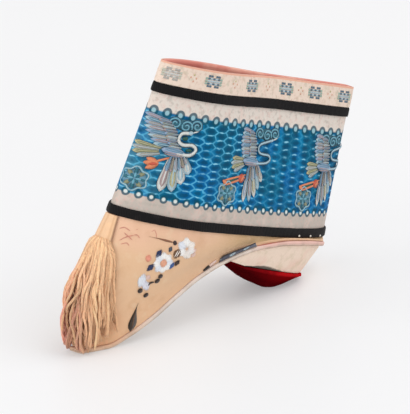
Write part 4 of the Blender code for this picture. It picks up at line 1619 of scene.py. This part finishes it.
def lay_flower(floss, chart):
    """White flower with a peach middle and blue-black leaves, and the pale blossom beside it."""
    lay_round(floss, chart, (13.6, 2.6), 0.4, 3.4, 2.6, ("blush", "blush", "cream", "blush"), 0.04, 0.8)
    blossom = ("white", "cream", "white", "cream", "white", "ice")
    lay_round(floss, chart, (10.8, 5.4), 0.4, 5.2, 3.6, blossom, 0.08)
    lay_satin(floss, chart, (4.8, 1.4), (7.2, 5.6), 3.2, "brown", 0.2)
    for shift in (-0.5, 0.5):
        floss.lay(chart, ((5.2 + shift, 2.2), (6.8 + shift, 5.0)), 0.5, "cream", "leaf", 0.32)
    # Leaves: middle, turn in degrees, length, width and dye
    for middle, turn, length, width, dye in (
        ((-2.2, 3.9), 50, 4.0, 2.0, "navy"),
        ((-5.4, -1.2), 38, 4.0, 2.2, "navy"),
        ((4.1, -1.8), 62, 3.8, 2.0, "blue"),
        ((6.5, -0.9), 58, 3.6, 2.4, "bark"),
        ((2.8, 5.5), 60, 2.6, 1.7, "slate"),
    ):
        way = 0.5 * length * np.array((math.cos(math.radians(turn)), math.sin(math.radians(turn))))
        lay_satin(floss, chart, middle - way, middle + way, width, dye, 0.2, full=1.0)
    petals = ("white", "white", "ice", "white", "white", "ice", "white", "ice")
    lay_round(floss, chart, (0, 0), 0.8, 4.7, 3.0, petals, 0.16)
    lay_satin(floss, chart, (-0.3, -1.9), (0.3, 1.9), 2.8, "peach", 0.34)
    floss.lay(chart, ((-6.4, 9.3), (-2.0, 9.0), (4.4, 8.1)), 0.8, "stem", "quill", 0.1)
    floss.lay(chart, ((4.0, 8.2), (5.8, 7.7)), 1.8, "bark", "disc", 0.16)
    lay_satin(floss, chart, (-6.9, 0.9), (-6.1, 3.5), 2.2, "coral", 0.1)


def lay_bud(floss, chart):
    """Pale bud below the flower, with its dark seeds."""
    lay_satin(floss, chart, (0.6, 3.6), (-1.9, -2.6), 3.2, "ice", 0.1)
    lay_satin(floss, chart, (0.4, 0.6), (1.9, -5.0), 3.0, "lilac", 0.14)
    lay_satin(floss, chart, (1.0, 2.2), (3.2, 0.6), 2.0, "blush", 0.06)
    for x, y, reach in ((6.4, -1.3, 1.2), (7.8, 0.7, 1.0), (-1.5, -3.8, 1.0), (1.0, -7.0, 1.1)):
        ends = ((x - reach, y - 0.5 * reach), (x + reach, y + 0.5 * reach))
        floss.lay(chart, ends, 2.3, "seed", "disc", 0.24)
    floss.lay(chart, ((2.0, -2.4), (3.2, -1.3), (5.0, -1.5)), 1.0, "seed", "leaf", 0.28)


def make_embroidery():
    """The same flower, bud, quill and outlines on both sides of the vamp, and two scraps on the near side."""
    floss = Floss(on_upper, EMBROIDERY_DYES)
    # Thin outlines near the ridge, millimetres from their middle
    outlines = (
        ((-2.6, -1.9), (-0.6, -0.3), (2.6, 1.2)),
        ((-1.4, 1.4), (0.6, 0.2), (2.4, -0.9)),
        ((2.6, 1.2), (4.0, 1.5), (5.4, 0.4)),
        ((7.9, 4.6), (9.4, 3.4), (11.6, 4.8)),
        ((11.6, 4.8), (12.8, 3.2), (13.1, 1.4)),
        ((-3.4, 2.6), (-1.6, 3.4), (0.8, 2.6)),
        ((3.2, 3.4), (4.6, 4.2), (6.2, 3.4)),
        ((-1.8, -3.2), (0.4, -2.4), (1.6, -3.4)),
    )
    for side in (1, -1):
        lay_flower(floss, vamp_chart(side, 0.1893, 0.6675))
        lay_bud(floss, vamp_chart(side, 0.1585, 0.505))
        quill = vamp_chart(side, 0.1876, 0.0625)
        floss.lay(quill, ((3.8, 9.2), (2.1, 4.4), (0.3, 0.2), (-1.9, -2.6)), 3.8, "quill", "quill", 0.14)
        floss.lay(quill, ((2.4, 5.0), (0.6, 0.6), (-0.9, -1.6)), 0.5, "brown", "leaf", 0.24)
        chart = vamp_chart(side, 0.0485, 0.8625)
        for path in outlines:
            floss.lay(chart, path, 0.3, "pink", "line", 0.05, 0.06)
    scraps = vamp_chart(1, 0.462, 0.035)
    floss.lay(scraps, ((-3.6, -0.9), (-0.6, 0.1)), 2.6, "black", "block", 0.12)
    floss.lay(scraps, ((-0.4, 0.2), (3.0, 1.2)), 2.0, "blush", "block", 0.08)
    dress(floss.make("vamp_embroidery"), floss_finish("embroidery_floss", 0.2, 0.55), "upper")


def make_stage(stage):
    """Floor, lights, surroundings and the camera at the photograph's angle."""
    scene = bpy.context.scene
    bpy.ops.object.select_all(action="DESELECT")
    bpy.ops.mesh.primitive_plane_add(size=8, location=(0, 0, 0))
    floor = bpy.context.object
    floor.name = "floor"
    floor.data.materials.append(floor_finish(stage).material)
    toe = Vector((0, SHIFT_Y * MM, 0))
    turn, tilt = stage.azimuth, stage.elevation
    back = Vector((math.sin(turn) * math.cos(tilt), -math.cos(turn) * math.cos(tilt), math.sin(tilt)))
    right = Vector((math.cos(turn), math.sin(turn), 0))
    up = back.cross(right)
    # Photograph: focal length in pixels, its middle, where the toe rests and the middle of the shoe
    focal, middle, toe_pixel, shoe_pixel = 2220.0, (205.0, 207.0), (160.0, 315.0), (227.0, 233.0)
    per_pixel = stage.distance / focal
    eye = toe + back * stage.distance
    eye = eye - right * (toe_pixel[0] - middle[0]) * per_pixel + up * (toe_pixel[1] - middle[1]) * per_pixel
    aim = -back * focal + right * (shoe_pixel[0] - middle[0]) - up * (shoe_pixel[1] - middle[1])
    bpy.ops.object.camera_add(location=eye)
    camera = bpy.context.object
    camera.name = "camera"
    camera.rotation_euler = aim.to_track_quat("-Z", "Y").to_euler()
    camera.data.lens = stage.lens
    camera.data.clip_end = 50
    scene.camera = camera
    for name, place, power, extent in (
        ("key_light", (0.75, 0.85, 2.05), stage.key_power, 1.8),
        ("fill_light", (-0.3, -1.9, 0.9), stage.fill_power, 1.8),
    ):
        bpy.ops.object.light_add(type="AREA", location=place)
        light = bpy.context.object
        light.name = name
        light.data.energy = power
        light.data.size = extent
        light.rotation_euler = (Vector((0, 0, 0.04)) - Vector(place)).to_track_quat("-Z", "Y").to_euler()
    world = bpy.data.worlds.new("pale_room")
    world.use_nodes = True
    background = world.node_tree.nodes["Background"]
    background.inputs["Color"].default_value = (1, 1, 1, 1)
    background.inputs["Strength"].default_value = stage.sky
    scene.world = world
    scene.view_settings.view_transform = "Standard"


# Operators and panel


class SLIPPER_OT_sole(bpy.types.Operator):
    """Models the cloth sole and the pad inside it"""

    bl_idname = "slipper.sole"
    bl_label = "Sole and inner pad"

    def execute(self, context):
        make_sole(context.scene.slipper_colours)
        make_insole()
        return {"FINISHED"}


class SLIPPER_OT_heel(bpy.types.Operator):
    """Models the covered heel and its red bottom"""

    bl_idname = "slipper.heel"
    bl_label = "Heel"

    def execute(self, context):
        make_heel(context.scene.slipper_colours)
        make_heel_lift(context.scene.slipper_colours)
        return {"FINISHED"}


class SLIPPER_OT_upper(bpy.types.Operator):
    """Models the silk upper and the tab on its front ridge"""

    bl_idname = "slipper.upper"
    bl_label = "Upper and front tab"

    def execute(self, context):
        make_upper(context.scene.slipper_colours)
        make_front_tab(context.scene.slipper_colours)
        return {"FINISHED"}


class SLIPPER_OT_leg_band(bpy.types.Operator):
    """Models the woven leg band and its figures"""

    bl_idname = "slipper.leg_band"
    bl_label = "Woven leg band"

    def execute(self, context):
        make_leg_band(context.scene.slipper_colours, context.scene.slipper_sizes)
        make_woven_figures()
        return {"FINISHED"}


class SLIPPER_OT_strips(bpy.types.Operator):
    """Models the black bindings, the collar ribbon and the ribbon scraps along the arch"""

    bl_idname = "slipper.strips"
    bl_label = "Bindings and ribbons"

    def execute(self, context):
        colours = context.scene.slipper_colours
        black, cream = binding_finish(colours), ribbon_finish(colours)
        make_strip("lower_black_binding", LOWER_BINDING, 0.5, 1.0, black, "binding", "lower_binding")
        make_strip("upper_black_binding", UPPER_BINDING, 0.5, 1.0, black, "binding", "upper_binding")
        make_strip("collar_ribbon_strip", COLLAR_RIBBON, 0.1, 0.0, cream, "collar_ribbon", "collar_ribbon")
        make_medallions()
        make_arch_ribbons()
        return {"FINISHED"}


class SLIPPER_OT_embroidery(bpy.types.Operator):
    """Lays the flowers on both sides of the vamp"""

    bl_idname = "slipper.embroidery"
    bl_label = "Embroidery"

    def execute(self, context):
        make_embroidery()
        return {"FINISHED"}


class SLIPPER_OT_tassel(bpy.types.Operator):
    """Models the silk tassel, yarn by yarn"""

    bl_idname = "slipper.tassel"
    bl_label = "Tassel"

    def execute(self, context):
        make_tassel(context.scene.slipper_colours, context.scene.slipper_sizes)
        return {"FINISHED"}


class SLIPPER_OT_stage(bpy.types.Operator):
    """Adds the floor, the lights and the camera"""

    bl_idname = "slipper.stage"
    bl_label = "Stage"

    def execute(self, context):
        make_stage(context.scene.slipper_stage)
        return {"FINISHED"}


OPERATORS = (
    SLIPPER_OT_sole,
    SLIPPER_OT_heel,
    SLIPPER_OT_upper,
    SLIPPER_OT_leg_band,
    SLIPPER_OT_strips,
    SLIPPER_OT_embroidery,
    SLIPPER_OT_tassel,
    SLIPPER_OT_stage,
)


GROUPS = {"slipper_sizes": SlipperSizes, "slipper_colours": SlipperColours, "slipper_stage": SlipperStage}


class SLIPPER_PT_panel(bpy.types.Panel):
    """Lists the slipper's pieces"""

    bl_label = "Slipper"
    bl_space_type = "VIEW_3D"
    bl_region_type = "UI"
    bl_category = "Slipper"

    def draw(self, context):
        for operator in OPERATORS:
            self.layout.operator(operator.bl_idname)
        for group_name in GROUPS:
            group = getattr(context.scene, group_name)
            for name in group.bl_rna.properties.keys():
                if name not in ("rna_type", "name"):
                    self.layout.prop(group, name)


def register():
    for made in (*GROUPS.values(), *OPERATORS, SLIPPER_PT_panel):
        bpy.utils.register_class(made)
    for name, group in GROUPS.items():
        setattr(bpy.types.Scene, name, bpy.props.PointerProperty(type=group))


def unregister():
    for name in GROUPS:
        delattr(bpy.types.Scene, name)
    for made in (SLIPPER_PT_panel, *reversed(OPERATORS), *GROUPS.values()):
        bpy.utils.unregister_class(made)


def main():
    register()
    bpy.ops.slipper.sole()
    bpy.ops.slipper.heel()
    bpy.ops.slipper.upper()
    bpy.ops.slipper.leg_band()
    bpy.ops.slipper.strips()
    bpy.ops.slipper.embroidery()
    bpy.ops.slipper.tassel()
    bpy.ops.slipper.stage()


if __name__ == "__main__":
    main()
